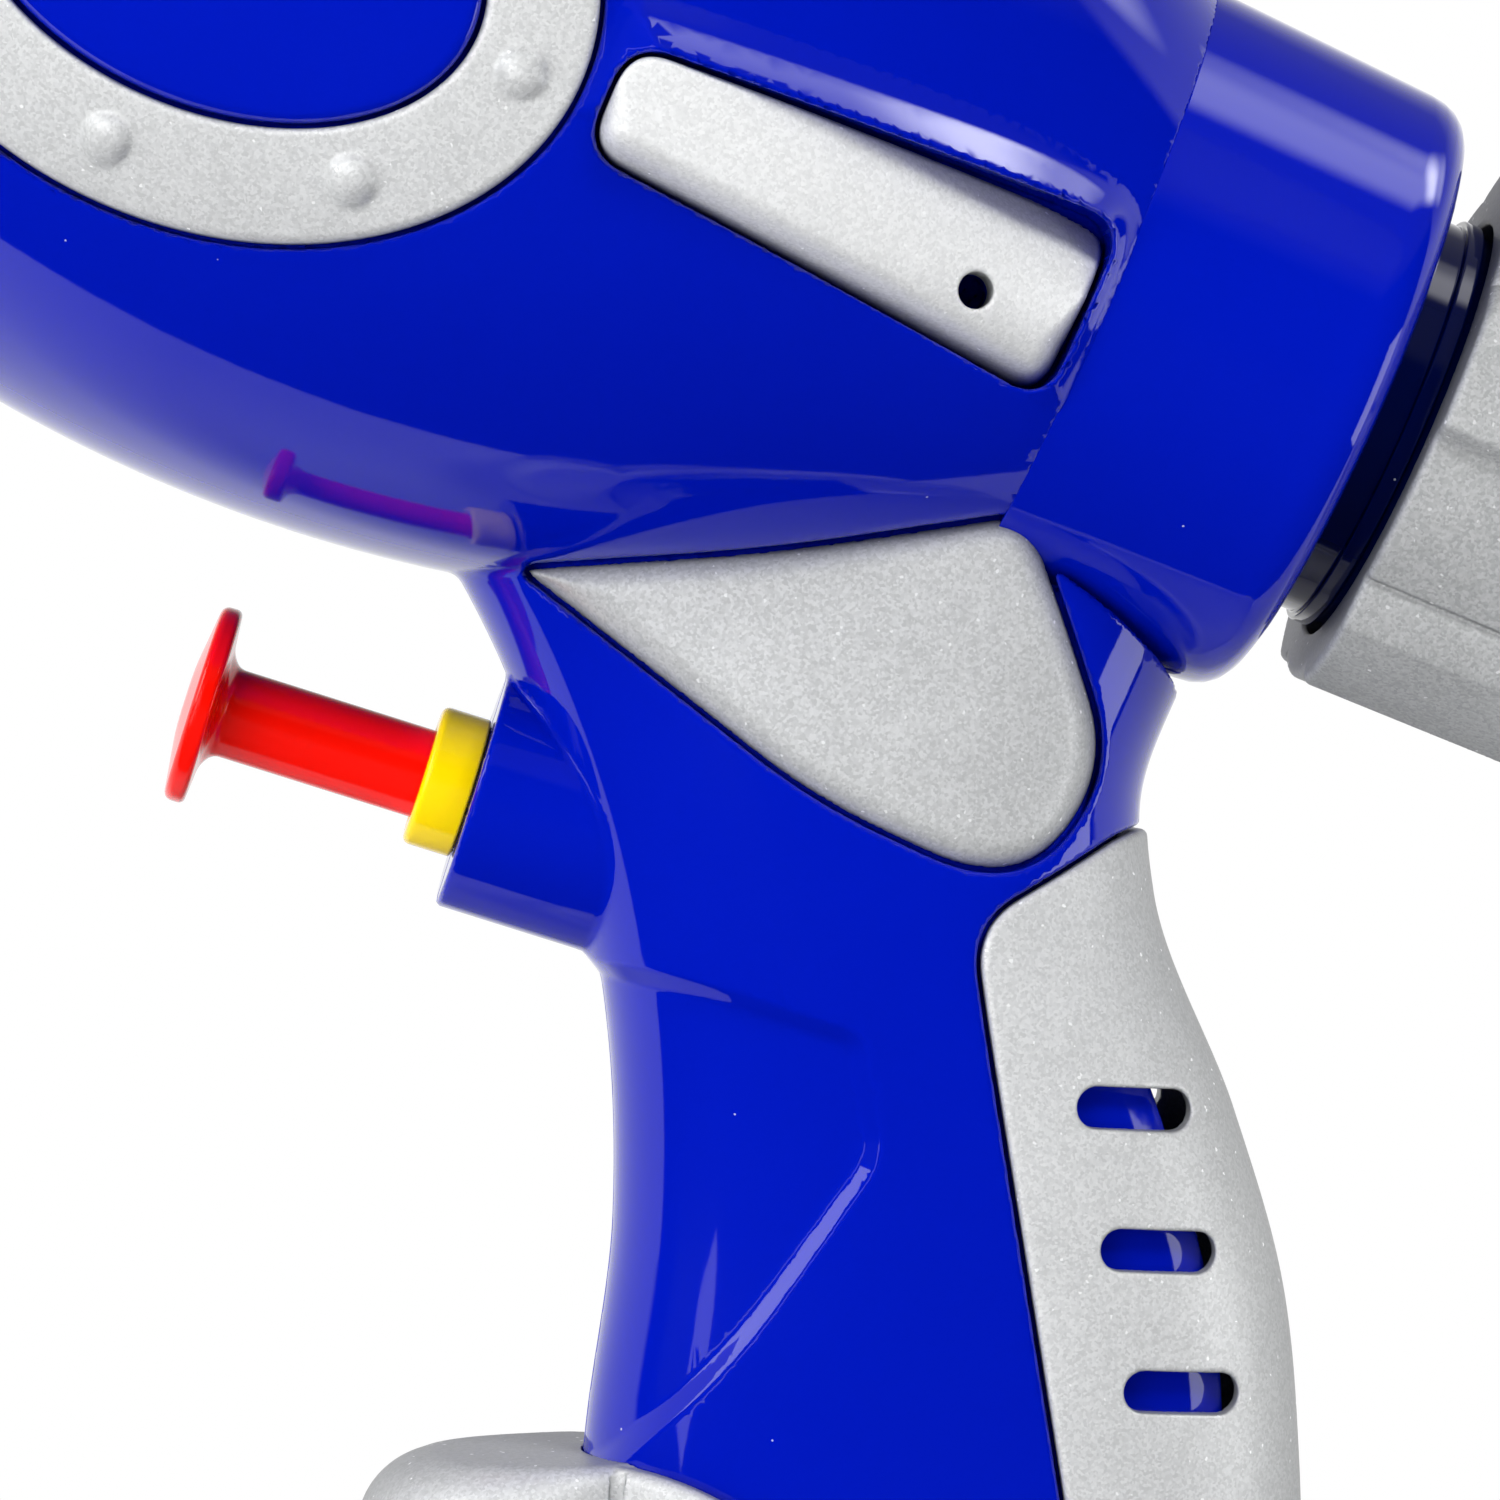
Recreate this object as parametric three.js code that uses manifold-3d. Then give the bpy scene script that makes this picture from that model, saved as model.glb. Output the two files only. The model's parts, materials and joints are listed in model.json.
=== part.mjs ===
// A hand-held water squirter. A spindle-shaped body, tilted muzzle up, sits on a handle that stands on a flat
// shoe. A plunger trigger works the pump in the handle, and a screw cap closes the bottle inside the body.
// Millimetres, +Z up, muzzle towards -X. The two shells meet in the plane Y = 0, and the origin is the middle
// of the sole.

import * as THREE from 'three';
import { mergeVertices } from 'three/addons/utils/BufferGeometryUtils.js';
import Module from 'manifold-3d';

const wasm = await Module();
wasm.setup();

// Fits
const FIT = 0.3; // gap between pieces that seat on each other
const RUNNING_FIT = 0.15; // gap between round pieces that slide or turn in each other

// Body axis: where it leaves the rear collar, and how far it rises towards the muzzle
const BODY_REAR_X = 34.5;
const BODY_REAR_Z = 90.9;
const BODY_TILT = 23.3; // degrees

// Filler neck, sleeve and collar, from the inside out. Places along the body are distances forward of the
// collar's rear face.
const NECK_RADIUS = 14;
const NECK_LENGTH = 20; // behind the collar's rear face
const NECK_WALL = 2;
const NECK_BEAD = 0.5; // how far the bead stands out of the neck
const NECK_BEAD_PLACE = 2.4; // behind the collar's rear face
const NECK_BEAD_WIDTH = 1.2;
const SLEEVE_WALL = 3.9;
const COLLAR_WALL = 3.4;
const COLLAR_LENGTH = 19.3;
const COLLAR_TAPER = 0.8; // how much its radius shrinks towards the rear
const COLLAR_FLANGE = 2.2;
const COLLAR_EDGE = 2.5;

// Bulb of the body: an arc turned about the axis, from the collar to the nose
const BULB_RADIUS = 36;
const BULB_MIDDLE = 70.7;
const BULB_WALL = 2.4;
const NOSE_RADIUS = 16;

// Barrel, nose ring, muzzle ring and nozzle
const BARREL_ROOT_RADIUS = 11.5;
const BARREL_TIP_RADIUS = 9.5;
const BARREL_LENGTH = 43;
const BARREL_BORE = 6.5;
const BARREL_SPIGOT_WALL = 1.8;
const BARREL_SPIGOT_LENGTH = 6;
const NOSE_RING_LENGTH = 6;
const NOSE_RING_STEP = 0.8; // how far it stands out of the bulb
const NOSE_RING_ROUND = 3;
const MUZZLE_RADIUS = 12.5;
const MUZZLE_LIP = 3;
const MUZZLE_ROUND = 1.3;
const NOZZLE_RADIUS = 3.6;
const NOZZLE_TIP_RADIUS = 2.4;
const NOZZLE_REACH = 5; // beyond the muzzle ring
const NOZZLE_FLANGE = 5;
const NOZZLE_EDGE = 0.6;
const JET_RADIUS = 0.6;

// Side features of the body lie on a line below the axis
const SIDE_LINE_DROP = 3.5;
const RING_AHEAD = 9.1; // of the bulb's middle
const RING_LENGTH = 48.2;
const RING_HEIGHT = 36.6;
const RING_BAND = 7;
const RING_PROUD = 0.5;
const RING_DEPTH = 1.1;
const RIVET_COUNT = 8;
const RIVET_START = -4; // degrees round the ring from its rear end
const RIVET_RADIUS = 1.65;
const RIVET_RISE = 0.9;
const DOME_RISE = 0.7; // the oval field inside the ring
const DOME_MARGIN = 1.2;

const SLOT_GAP = 1.7; // between slot and ring
const SLOT_REAR = 20.4;
const SLOT_FRONT_HEIGHT = 7.6;
const SLOT_REAR_HEIGHT = 11.6;
const SLOT_CORNER = 2.8;
const SLOT_DEPTH = 3.6;
const SLOT_WALL = 0.7;
const SLOT_FLOOR = 1.4;
const BROW_HEIGHT = 4.2; // slanted face above the slot
const BROW_RISE = 1.9;
const BROW_FRONT = 0.3; // share of height and rise at the front end
const BROW_REAR = 0.5;
const INSERT_CROWN = 2.2; // how far the bar's back rises off the slot's floor
const INSERT_FULLNESS = 0.7; // below 1 the back is fuller than a half round
const VENT_AHEAD = 7.3; // of the slot's rear end
const VENT_DROP = 4.9;
const VENT_RADIUS = 1.15;

// Handle: front and rear edges as [height, place], seen from the side
const HANDLE_FRONT = [[0, -18.2], [22, -17.2], [37, -15.3], [53, -16.1], [72.8, -21.5], [92, -32]];
const HANDLE_REAR = [
  [0, 30.6], [20, 31], [33, 29.7], [44, 26.5], [58.5, 21.1], [65, 20.8], [72, 23.4], [92, 36],
];
const HANDLE_HALF_WIDTH = 14;
const HANDLE_WALL = 2.8;
const HANDLE_TOP = 88; // inside the body
const SECTION_POWER = 2.25; // a little squarer than an ellipse

// Trims on the handle. Corners are [x, z, rounding], seen from the side.
const PAD_CORNERS = [
  [-20.8, 79.9, 1], [-5, 80.9, 6], [11.9, 83.4, 2.4], [14.6, 76.2, 4], [18, 66.5, 5], [11.2, 58.8, 6.5],
  [-2, 65, 5],
];
const STRAP_CORNERS = [[40, 63], [19.2, 62.6, 2], [8.4, 56.7, 3.4], [9.4, 49.6, 3], [16.6, 5], [40, 5]];
const PANEL_CORNERS = [
  [-24, 55.6], [-9.5, 53.4, 3], [1.4, 49.9, 1.6], [2.7, 41.6, 2], [-7.4, 27.2, 6], [-24, 12.6],
];
const TRIM_DEPTH = 1.2; // how deep pads and backstrap sit in the shells
const PAD_PROUD = 0.7;
const STRAP_PROUD = 0.5;
const STRAP_SLOTS = 3;
const STRAP_SLOT_LENGTH = 8;
const STRAP_SLOT_HEIGHT = 2.75;
const STRAP_SLOT_TILT = 4.5; // degrees down to the rear
const STRAP_SLOT_X = 19.1;
const STRAP_SLOT_Z = 44.6;
const STRAP_SLOT_STEP_X = 1.55;
const STRAP_SLOT_STEP_Z = -9.3;
const PANEL_DEPTH = 0.7;

// Shoe
const SHOE_WALL = 2.2;
const SHOE_FLOOR = 3;
const SHOE_TOP = 22;
const SHOE_REAR_TOP = 9.5;
const TOE_FRONT = -31.6;
const TOE_REAR = -4;
const TOE_HALF_WIDTH = 11.5;
const TOE_ROUND = 5.5;
const TOE_FOOT = 1; // chamfer at the sole

// Pump: the middle of the boss's face, and how far the axis falls towards the rear
const PUMP_X = -23.9;
const PUMP_Z = 65.3;
const PUMP_TILT = 17.6; // degrees
const STROKE = 12;
const ROD_RADIUS = 3;
const DISC_RADIUS = 6.7;
const DISC_RIM = 1.35;
const DISC_DOME = 0.6;
const DISC_EDGE = 0.4;
const DISC_CONE = 0.9;
const DISC_STANDOFF = 1.65; // left between disc and gland when pressed
const GLAND_WALL = 0.85;
const GLAND_LIP = 0.45;
const GLAND_FLANGE = 3.1;
const GLAND_EDGE = 0.5;
const GLAND_SPIGOT = 7;
const CYLINDER_WALL = 1.3;
const CYLINDER_FLOOR = 2;
const BOSS_WALL = 2.15;
const BOSS_FACE = 2;
const PISTON_LENGTH = 5;
const SEAL_WIDTH = 1.5;
const SEAL_DEPTH = 1.2;
const SPRING_WIRE = 0.35; // radius
const SPRING_TURNS = 6;
const SPRING_SOLID = 5.7; // length left for the pressed spring
const BLOCK_LENGTH = 8;
const PORT_SPREAD = 3; // each port's distance from the seam plane
const PORT_TOP = 8.4;
const PORT_PASSAGE = 1.6;
const BALL_RADIUS = 1.4;
const BALL_TRAVEL = 0.8;
const BALL_SEAT = 3; // height of the ball chambers' floors over the pump axis

// Tubes and the barbs that they slide on
const BARB_RADIUS = 1.2;
const BARB_LENGTH = 3.5;
const BARB_BORE = 0.6;
const TUBE_WALL = 0.7;
const TUBE_BEND = 4; // length of a bend on either side of its corner
const TUBE_END = 7.8; // from a barb's root to the first corner
const TUBE_CLEARANCE = 1.6; // kept from the shell's wall
const DELIVERY_BEND_PLACE = 13; // where the delivery tube turns up into the body, behind the boss's face
const DELIVERY_BEND_RISE = 13; // over the pump axis
const BELLY_SIDE = 5; // how far right of the seam the delivery tube runs
const BELLY_LEAD = 11; // from the bottle's outlet to where it meets the shell
const TANK_WALL = 1.5;
const TANK_NOSE_ROOM = 24; // from the bottle to the nose
const TANK_OUTLET = 34;
const TANK_OUTLET_LENGTH = 3;

// Cap
const CAP_GAP = 3.9; // between collar and cap
const THREAD_ROOM = 0.9;
const CAP_WALL = 4.4;
const CAP_END = 3.4;
const CAP_LOBES = 5;
const CAP_DIP = 0.9;
// One lobe of the cap's side: degrees round from the lobe's step, and the share of the dip there.
const CAP_LOBE = [[0, 0], [4, 1], [22.5, 1], [41, 1], [55, 0], [63.5, 0]];
const CAP_ROUND = 5;
const CAP_EDGE = 0.7; // chamfer at its mouth
const CAP_DRAFT = 0.5; // how much its radius shrinks towards the end
const GASKET_THICKNESS = 2;

// Shell screws
const SCREW_RADIUS = 1.1;
const SCREW_LENGTH = 13;
const SCREW_HEAD_RADIUS = 2.2;
const SCREW_HEAD_HEIGHT = 1.8;
const SCREW_SEAT = 6; // head seats this far right of the seam
const POST_WALL = 0.9;
const HANDLE_POSTS = [[6, 43.5], [2, 25]];
const BULB_POSTS = [-22.7, 23.3]; // ahead of the bulb's middle

// Sizes that follow from the ones above
const SLEEVE_BORE = NECK_RADIUS + FIT;
const SLEEVE_RADIUS = SLEEVE_BORE + SLEEVE_WALL;
const COLLAR_BORE = SLEEVE_RADIUS + FIT;
const COLLAR_RADIUS = COLLAR_BORE + COLLAR_WALL;
const COLLAR_MOUTH = NECK_RADIUS + NECK_BEAD + FIT;
const BULB_SAG = BULB_RADIUS - COLLAR_RADIUS;
const BULB_ARC = ((BULB_MIDDLE - COLLAR_LENGTH) ** 2 + BULB_SAG ** 2) / (2 * BULB_SAG);
const BULB_NOSE = BULB_MIDDLE + Math.sqrt(BULB_ARC ** 2 - (BULB_ARC - BULB_RADIUS + NOSE_RADIUS) ** 2);
const RING_PLACE = BULB_MIDDLE + RING_AHEAD;
const SLOT_FRONT = RING_PLACE - RING_LENGTH / 2 - SLOT_GAP;
const VENT_PLACE = SLOT_REAR + VENT_AHEAD;
const TANK_FRONT = BULB_NOSE - TANK_NOSE_ROOM;
const BARREL_TIP = BULB_NOSE + BARREL_LENGTH;
const SPIGOT_RADIUS = BARREL_BORE + BARREL_SPIGOT_WALL;
const SPIGOT_ROOT = BARREL_TIP - BARREL_SPIGOT_LENGTH;
const GLAND_BORE = ROD_RADIUS + RUNNING_FIT;
const GLAND_RADIUS = GLAND_BORE + GLAND_WALL;
const BOSS_HOLE = GLAND_RADIUS + FIT;
const CYLINDER_BORE = GLAND_RADIUS + FIT;
const CYLINDER_RADIUS = CYLINDER_BORE + CYLINDER_WALL;
const BOSS_BORE = CYLINDER_RADIUS + FIT;
const BOSS_RADIUS = BOSS_BORE + BOSS_WALL;
const GLAND_FRONT = -FIT - GLAND_FLANGE;
const PISTON_FRONT = GLAND_SPIGOT + FIT;
const PISTON_BACK = PISTON_FRONT + PISTON_LENGTH;
const CYLINDER_INSIDE_END = PISTON_BACK + STROKE + SPRING_SOLID;
const CYLINDER_END = CYLINDER_INSIDE_END + CYLINDER_FLOOR;
const BLOCK_FRONT = CYLINDER_END + FIT;
const PORT_PLACE = BLOCK_FRONT + BLOCK_LENGTH / 2;
const TUBE_BORE = BARB_RADIUS + FIT;
const TUBE_RADIUS = TUBE_BORE + TUBE_WALL;
const WELL_RADIUS = SCREW_HEAD_RADIUS + FIT;
const POST_RADIUS = WELL_RADIUS + POST_WALL;
const POST_INSET = BULB_WALL + POST_RADIUS;
const TANK_INSET = POST_INSET + POST_RADIUS + 2 * FIT;
const CAP_BORE = NECK_RADIUS + THREAD_ROOM;
const CAP_RADIUS = CAP_BORE + CAP_WALL;
const GASKET_FRONT = NECK_LENGTH + FIT;
const CAP_INSIDE_END = GASKET_FRONT + GASKET_THICKNESS + FIT;
const CAP_REAR = CAP_INSIDE_END + CAP_END;

// Facets
const BODY_SEGMENTS = 24;
const INNER_SEGMENTS = 16;
const TURNED_SEGMENTS = 16;
const SMALL_SEGMENTS = 10;
const POST_SEGMENTS = 8; // posts, screws and barbs
const TUBE_SIDES = 6;
const OVAL_POINTS = 16;
const BULB_STEPS = 7;
const HANDLE_RINGS = 8;
const HANDLE_POINTS = 16;
const HANDLE_INNER_POINTS = 12;
const FAR = 100; // reach of the cutting prisms and boxes

const radians = THREE.MathUtils.degToRad;
const mix = THREE.MathUtils.lerp;
const PART_FRAME = new THREE.Matrix4();
const tilted = (degrees) => new THREE.Matrix4().makeRotationY(radians(degrees));
const BODY_FRAME = tilted(BODY_TILT).setPosition(BODY_REAR_X, 0, BODY_REAR_Z);
const PUMP_FRAME = tilted(PUMP_TILT).setPosition(PUMP_X, 0, PUMP_Z);

// Solids

// A closed geometry as a solid with its faces turned out.
function toSolid(geometry, frame = PART_FRAME) {
  const bare = new THREE.BufferGeometry();
  bare.setAttribute('position', geometry.getAttribute('position'));
  bare.setIndex(geometry.index);
  const merged = mergeVertices(bare, 1e-4).applyMatrix4(frame);
  const places = merged.getAttribute('position');
  const corners = [0, 1, 2].map(() => new THREE.Vector3());
  const triVerts = [];
  let volume = 0;
  for (let i = 0; i < merged.index.count; i += 3) {
    const triangle = [0, 1, 2].map((k) => merged.index.getX(i + k));
    if (new Set(triangle).size < 3) continue;
    triVerts.push(...triangle);
    triangle.forEach((vertex, k) => corners[k].fromBufferAttribute(places, vertex));
    volume += corners[0].dot(corners[1].cross(corners[2]));
  }
  if (volume < 0) triVerts.reverse();
  return new wasm.Manifold(new wasm.Mesh({
    numProp: 3,
    vertProperties: new Float32Array(places.array),
    triVerts: new Uint32Array(triVerts),
  }));
}

function toGeometry(solid) {
  const { vertProperties, triVerts } = solid.getMesh();
  const geometry = new THREE.BufferGeometry();
  geometry.setAttribute('position', new THREE.BufferAttribute(new Float32Array(vertProperties), 3));
  geometry.setIndex(new THREE.BufferAttribute(new Uint32Array(triVerts), 1));
  geometry.computeVertexNormals();
  return geometry;
}

const joined = (first, ...others) => others.reduce((sum, other) => sum.add(other), first);
const cut = (first, ...others) => others.reduce((rest, other) => rest.subtract(other), first);
const mirrored = (solid) => toSolid(toGeometry(solid).scale(1, -1, 1));

// A profile of [place along the axis, radius] turned about the X axis of the frame.
function revolve(profile, segments, frame) {
  const points = profile.map(([along, radius]) => new THREE.Vector2(radius, along));
  return toSolid(new THREE.LatheGeometry(points, segments).rotateZ(-Math.PI / 2), frame);
}

// The same for a ring, whose outline of [place, radius, rounding] closes on itself.
function turnedRing(corners, segments, frame) {
  const outline = softened(corners);
  return revolve([...outline, outline[0]], segments, frame);
}

// An outline of [x, z] extruded across the part from one Y to another.
function prism(outline, fromY, toY, frame) {
  const shape = new THREE.Shape(outline.map(([x, z]) => new THREE.Vector2(x, z)));
  const bar = new THREE.ExtrudeGeometry(shape, { depth: toY - fromY, bevelEnabled: false });
  return toSolid(bar.rotateX(Math.PI / 2).translate(0, toY, 0), frame);
}

// Round bars along the frame's X, Y and Z axes.
const rod = (from, to, radius, segments) => (
  new THREE.CylinderGeometry(radius, radius, to - from, segments).translate(0, (from + to) / 2, 0)
);
const barX = (from, to, y, z, radius, segments = SMALL_SEGMENTS, frame = PART_FRAME) => toSolid(
  rod(from, to, radius, segments).rotateZ(-Math.PI / 2).translate(0, y, z),
  frame,
);
const barY = (from, to, x, z, radius, segments = SMALL_SEGMENTS, frame = PART_FRAME) => toSolid(
  rod(from, to, radius, segments).translate(x, 0, z),
  frame,
);
const barZ = (from, to, x, y, radius, segments = SMALL_SEGMENTS, frame = PART_FRAME) => toSolid(
  rod(from, to, radius, segments).rotateX(Math.PI / 2).translate(x, y, 0),
  frame,
);

const block = (width, depth, height) => new THREE.BoxGeometry(width, depth, height);
const leftHalf = (gap) => toSolid(block(4 * FAR, FAR, 6 * FAR).translate(0, -FAR / 2 - gap, FAR));
const belowHeight = (z) => toSolid(block(4 * FAR, 2 * FAR, FAR).translate(0, 0, z - FAR / 2));

// Closed rings of points with the same count, skinned in order.
function loft(rings, frame) {
  const count = rings[0].length;
  const last = count * (rings.length - 1);
  const index = [];
  for (let start = 0; start < last; start += count) {
    for (let i = 0; i < count; i += 1) {
      const [a, b] = [start + i, start + ((i + 1) % count)];
      index.push(a, b, b + count, a, b + count, a + count);
    }
  }
  for (let i = 1; i + 1 < count; i += 1) {
    index.push(0, i + 1, i, last, last + i, last + i + 1);
  }
  const geometry = new THREE.BufferGeometry().setFromPoints(rings.flat());
  geometry.setIndex(index);
  return toSolid(geometry, frame);
}

// Outlines

// Corners of [x, y, rounding], with each rounded corner drawn as a short curve.
function softened(corners, steps = 2) {
  return corners.flatMap(([x, y, rounding], i) => {
    if (!rounding) return [[x, y]];
    const corner = new THREE.Vector2(x, y);
    const [start, end] = [corners.at(i - 1), corners[(i + 1) % corners.length]].map(([nextX, nextY]) => {
      const way = new THREE.Vector2(nextX, nextY).sub(corner);
      return corner.clone().addScaledVector(way.clone().normalize(), Math.min(rounding, way.length() / 2));
    });
    const curve = new THREE.QuadraticBezierCurve(start, corner, end);
    return curve.getPoints(steps).map((point) => point.toArray());
  });
}

// A closed outline moved out by a distance, or in where it is negative.
function grown(outline, distance) {
  const points = outline.map(([x, y]) => new THREE.Vector2(x, y));
  const side = THREE.ShapeUtils.isClockWise(points) ? -1 : 1;
  const normalOf = (from, to) => new THREE.Vector2(to.y - from.y, from.x - to.x).setLength(side);
  return points.map((point, i) => {
    const before = normalOf(points.at(i - 1), point);
    const after = normalOf(point, points[(i + 1) % points.length]);
    const out = before.clone().add(after).divideScalar(1 + before.dot(after));
    return point.clone().addScaledVector(out, distance).toArray();
  });
}

function ellipse(x, z, width, height, points = OVAL_POINTS) {
  const oval = new THREE.EllipseCurve(x, z, width / 2, height / 2);
  return oval.getPoints(points).slice(0, points).map((point) => point.toArray());
}

// Forms that several pieces share

// Radius of the bulb at a place along the body, for the surface moved out by a distance.
function bulbRadius(along, out = 0) {
  return BULB_RADIUS - BULB_ARC + Math.sqrt((BULB_ARC + out) ** 2 - (along + BULB_MIDDLE) ** 2);
}

function bulbProfile(from, to, out, steps) {
  return Array.from({ length: steps + 1 }, (_, k) => {
    const along = mix(from, to, k / steps);
    return [along, bulbRadius(along, out)];
  });
}

// The whole bulb as a solid, moved out by a distance.
function bulb(out, frame) {
  const profile = bulbProfile(-BULB_NOSE, -COLLAR_LENGTH, out, BULB_STEPS);
  return revolve([[-BULB_NOSE, 0], ...profile, [-COLLAR_LENGTH, 0]], BODY_SEGMENTS, frame);
}

// The skin of the bulb between two distances out of its surface, on the left side, inside an outline.
const bulbSkin = (outline, outer, inner, frame) => cut(
  prism(outline, -FAR, 0, frame).intersect(bulb(outer, frame)),
  bulb(inner, frame),
);

const edgeCurve = (points) => {
  const curve = new THREE.CubicInterpolant(points.map(([z]) => z), points.map(([, x]) => x), 1);
  return (z) => curve.evaluate(z)[0];
};
const frontEdge = edgeCurve(HANDLE_FRONT);
const rearEdge = edgeCurve(HANDLE_REAR);

// A level section of the handle or the toe: a squared ellipse between a front and a rear point.
function levelRing(front, rear, halfWidth, z, count = HANDLE_POINTS) {
  const squared = (value) => Math.sign(value) * Math.abs(value) ** (2 / SECTION_POWER);
  return Array.from({ length: count }, (_, i) => {
    const angle = (2 * Math.PI * i) / count;
    const x = mix(front, rear, (1 + squared(Math.cos(angle))) / 2);
    return new THREE.Vector3(x, halfWidth * squared(Math.sin(angle)), z);
  });
}

// The handle as a solid from the sole up into the body, moved out by a distance.
function handle(out, count = HANDLE_POINTS) {
  return loft(Array.from({ length: HANDLE_RINGS + 1 }, (_, k) => {
    const z = (HANDLE_TOP * k) / HANDLE_RINGS;
    return levelRing(frontEdge(z) - out, rearEdge(z) + out, HANDLE_HALF_WIDTH + out, z, count);
  }));
}

// The skin of the handle between two distances out of its surface, inside an outline.
const handleSkin = (outline, outer, inner, toY) => cut(
  prism(outline, -FAR, toY).intersect(handle(outer)),
  handle(inner),
);

// The room that the collar takes, wider and longer by a gap.
const collarRoom = (gap) => revolve([
  [-COLLAR_LENGTH - gap, 0],
  [-COLLAR_LENGTH - gap, COLLAR_RADIUS + gap],
  [FAR, COLLAR_RADIUS + gap],
  [FAR, 0],
], BODY_SEGMENTS, BODY_FRAME);

// Outlines of the trims, seen from the side

const ringOval = (inset) => (
  ellipse(-RING_PLACE, -SIDE_LINE_DROP, RING_LENGTH - 2 * inset, RING_HEIGHT - 2 * inset)
);
const ringOutline = ringOval(0);
const ringHole = ringOval(RING_BAND);

const slotHalfHeight = (along) => mix(
  SLOT_FRONT_HEIGHT / 2,
  SLOT_REAR_HEIGHT / 2,
  (along + SLOT_FRONT) / (SLOT_FRONT - SLOT_REAR),
);
const slotOutline = softened([
  [-SLOT_FRONT, -SIDE_LINE_DROP - SLOT_FRONT_HEIGHT / 2, SLOT_CORNER],
  [-SLOT_REAR, -SIDE_LINE_DROP - SLOT_REAR_HEIGHT / 2, SLOT_CORNER],
  [-SLOT_REAR, -SIDE_LINE_DROP + SLOT_REAR_HEIGHT / 2, SLOT_CORNER],
  [-SLOT_FRONT, -SIDE_LINE_DROP + SLOT_FRONT_HEIGHT / 2, SLOT_CORNER],
]);

const padOutline = softened(PAD_CORNERS, 3);
const strapOutline = softened(STRAP_CORNERS);
const panelOutline = softened(PANEL_CORNERS);

const shoeOutline = softened([
  [-FAR, -FIT],
  [FAR, -FIT],
  [FAR, SHOE_REAR_TOP],
  [9, SHOE_REAR_TOP, 9],
  [-11.5, SHOE_TOP, 5],
  [-FAR, SHOE_TOP],
]);
const shoeRoom = () => prism(grown(shoeOutline, FIT), -FAR, FAR);

// Shells

// The turned part of the shells: spigot, barrel, bulb and the sleeve under the collar.
const turnedOutside = () => revolve([
  [-BARREL_TIP, 0],
  [-BARREL_TIP, SPIGOT_RADIUS],
  [-SPIGOT_ROOT, SPIGOT_RADIUS],
  [-SPIGOT_ROOT, BARREL_TIP_RADIUS],
  [-BULB_NOSE, BARREL_ROOT_RADIUS],
  ...bulbProfile(-BULB_NOSE, -COLLAR_LENGTH - FIT, 0, BULB_STEPS),
  [-COLLAR_LENGTH - FIT, SLEEVE_RADIUS],
  [-COLLAR_FLANGE - FIT, SLEEVE_RADIUS],
  [-COLLAR_FLANGE - FIT, 0],
], BODY_SEGMENTS, BODY_FRAME);

const turnedInside = () => revolve([
  [-BARREL_TIP - 1, 0],
  [-BARREL_TIP - 1, BARREL_BORE],
  [-BULB_NOSE + BULB_WALL, BARREL_BORE],
  ...bulbProfile(-BULB_NOSE + BULB_WALL, -COLLAR_LENGTH - FIT - BULB_WALL, -BULB_WALL, 4),
  [-COLLAR_LENGTH - FIT - BULB_WALL, SLEEVE_BORE],
  [1, SLEEVE_BORE],
  [1, 0],
], INNER_SEGMENTS, BODY_FRAME);

const handleOutside = () => cut(handle(0), belowHeight(SHOE_FLOOR + FIT), collarRoom(FIT));
const handleInside = () => cut(
  handle(-HANDLE_WALL, HANDLE_INNER_POINTS),
  belowHeight(SHOE_FLOOR + FIT + HANDLE_WALL),
  collarRoom(FIT + HANDLE_WALL),
);

// A brow above the slot, its face sloping out to the slot's edge.
function slotBrow(frame) {
  const steps = 6;
  return loft(Array.from({ length: steps + 1 }, (_, k) => {
    const share = k ? mix(1, BROW_REAR, k / steps) : BROW_FRONT;
    const along = mix(-SLOT_FRONT, -SLOT_REAR - FIT, k / steps);
    const edge = -SIDE_LINE_DROP + slotHalfHeight(along);
    const top = edge + BROW_HEIGHT * share;
    const side = (up) => -Math.sqrt(bulbRadius(along) ** 2 - up ** 2);
    return [
      new THREE.Vector3(along, side(top) + FIT, top),
      new THREE.Vector3(along, side(top) + BULB_WALL / 2, top),
      new THREE.Vector3(along, side(edge) + BULB_WALL / 2, edge - FIT),
      new THREE.Vector3(along, side(edge) - BROW_RISE * share, edge - FIT),
    ];
  }), frame);
}

const ringBand = (out) => cut(
  prism(grown(ringOutline, out), -FAR, 0, BODY_FRAME),
  prism(grown(ringHole, -out), -FAR - 1, 1, BODY_FRAME),
);

// What is raised on the left side and what is cut into it, the same on both sides.
const sideRaised = () => joined(
  bulbSkin(grown(ringHole, -DOME_MARGIN), DOME_RISE, -BULB_WALL / 2, BODY_FRAME),
  slotBrow(BODY_FRAME),
  bulbSkin(grown(slotOutline, SLOT_WALL), 0, -SLOT_DEPTH - SLOT_FLOOR, BODY_FRAME),
);
const sideRecesses = () => joined(
  cut(ringBand(FIT).intersect(bulb(RING_PROUD + FIT, BODY_FRAME)), bulb(-RING_DEPTH - FIT, BODY_FRAME)),
  bulbSkin(slotOutline, BROW_RISE + FIT, -SLOT_DEPTH, BODY_FRAME),
  barY(-FAR, 0, -VENT_PLACE, -VENT_DROP, VENT_RADIUS, SMALL_SEGMENTS, BODY_FRAME),
  cut(handleSkin(panelOutline, FIT, -PANEL_DEPTH, 0), shoeRoom()),
  handleSkin(grown(padOutline, FIT), FIT + PAD_PROUD, -TRIM_DEPTH - FIT, 0),
  handleSkin(grown(strapOutline, FIT), FIT + STRAP_PROUD, -TRIM_DEPTH - FIT, 0),
);

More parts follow.
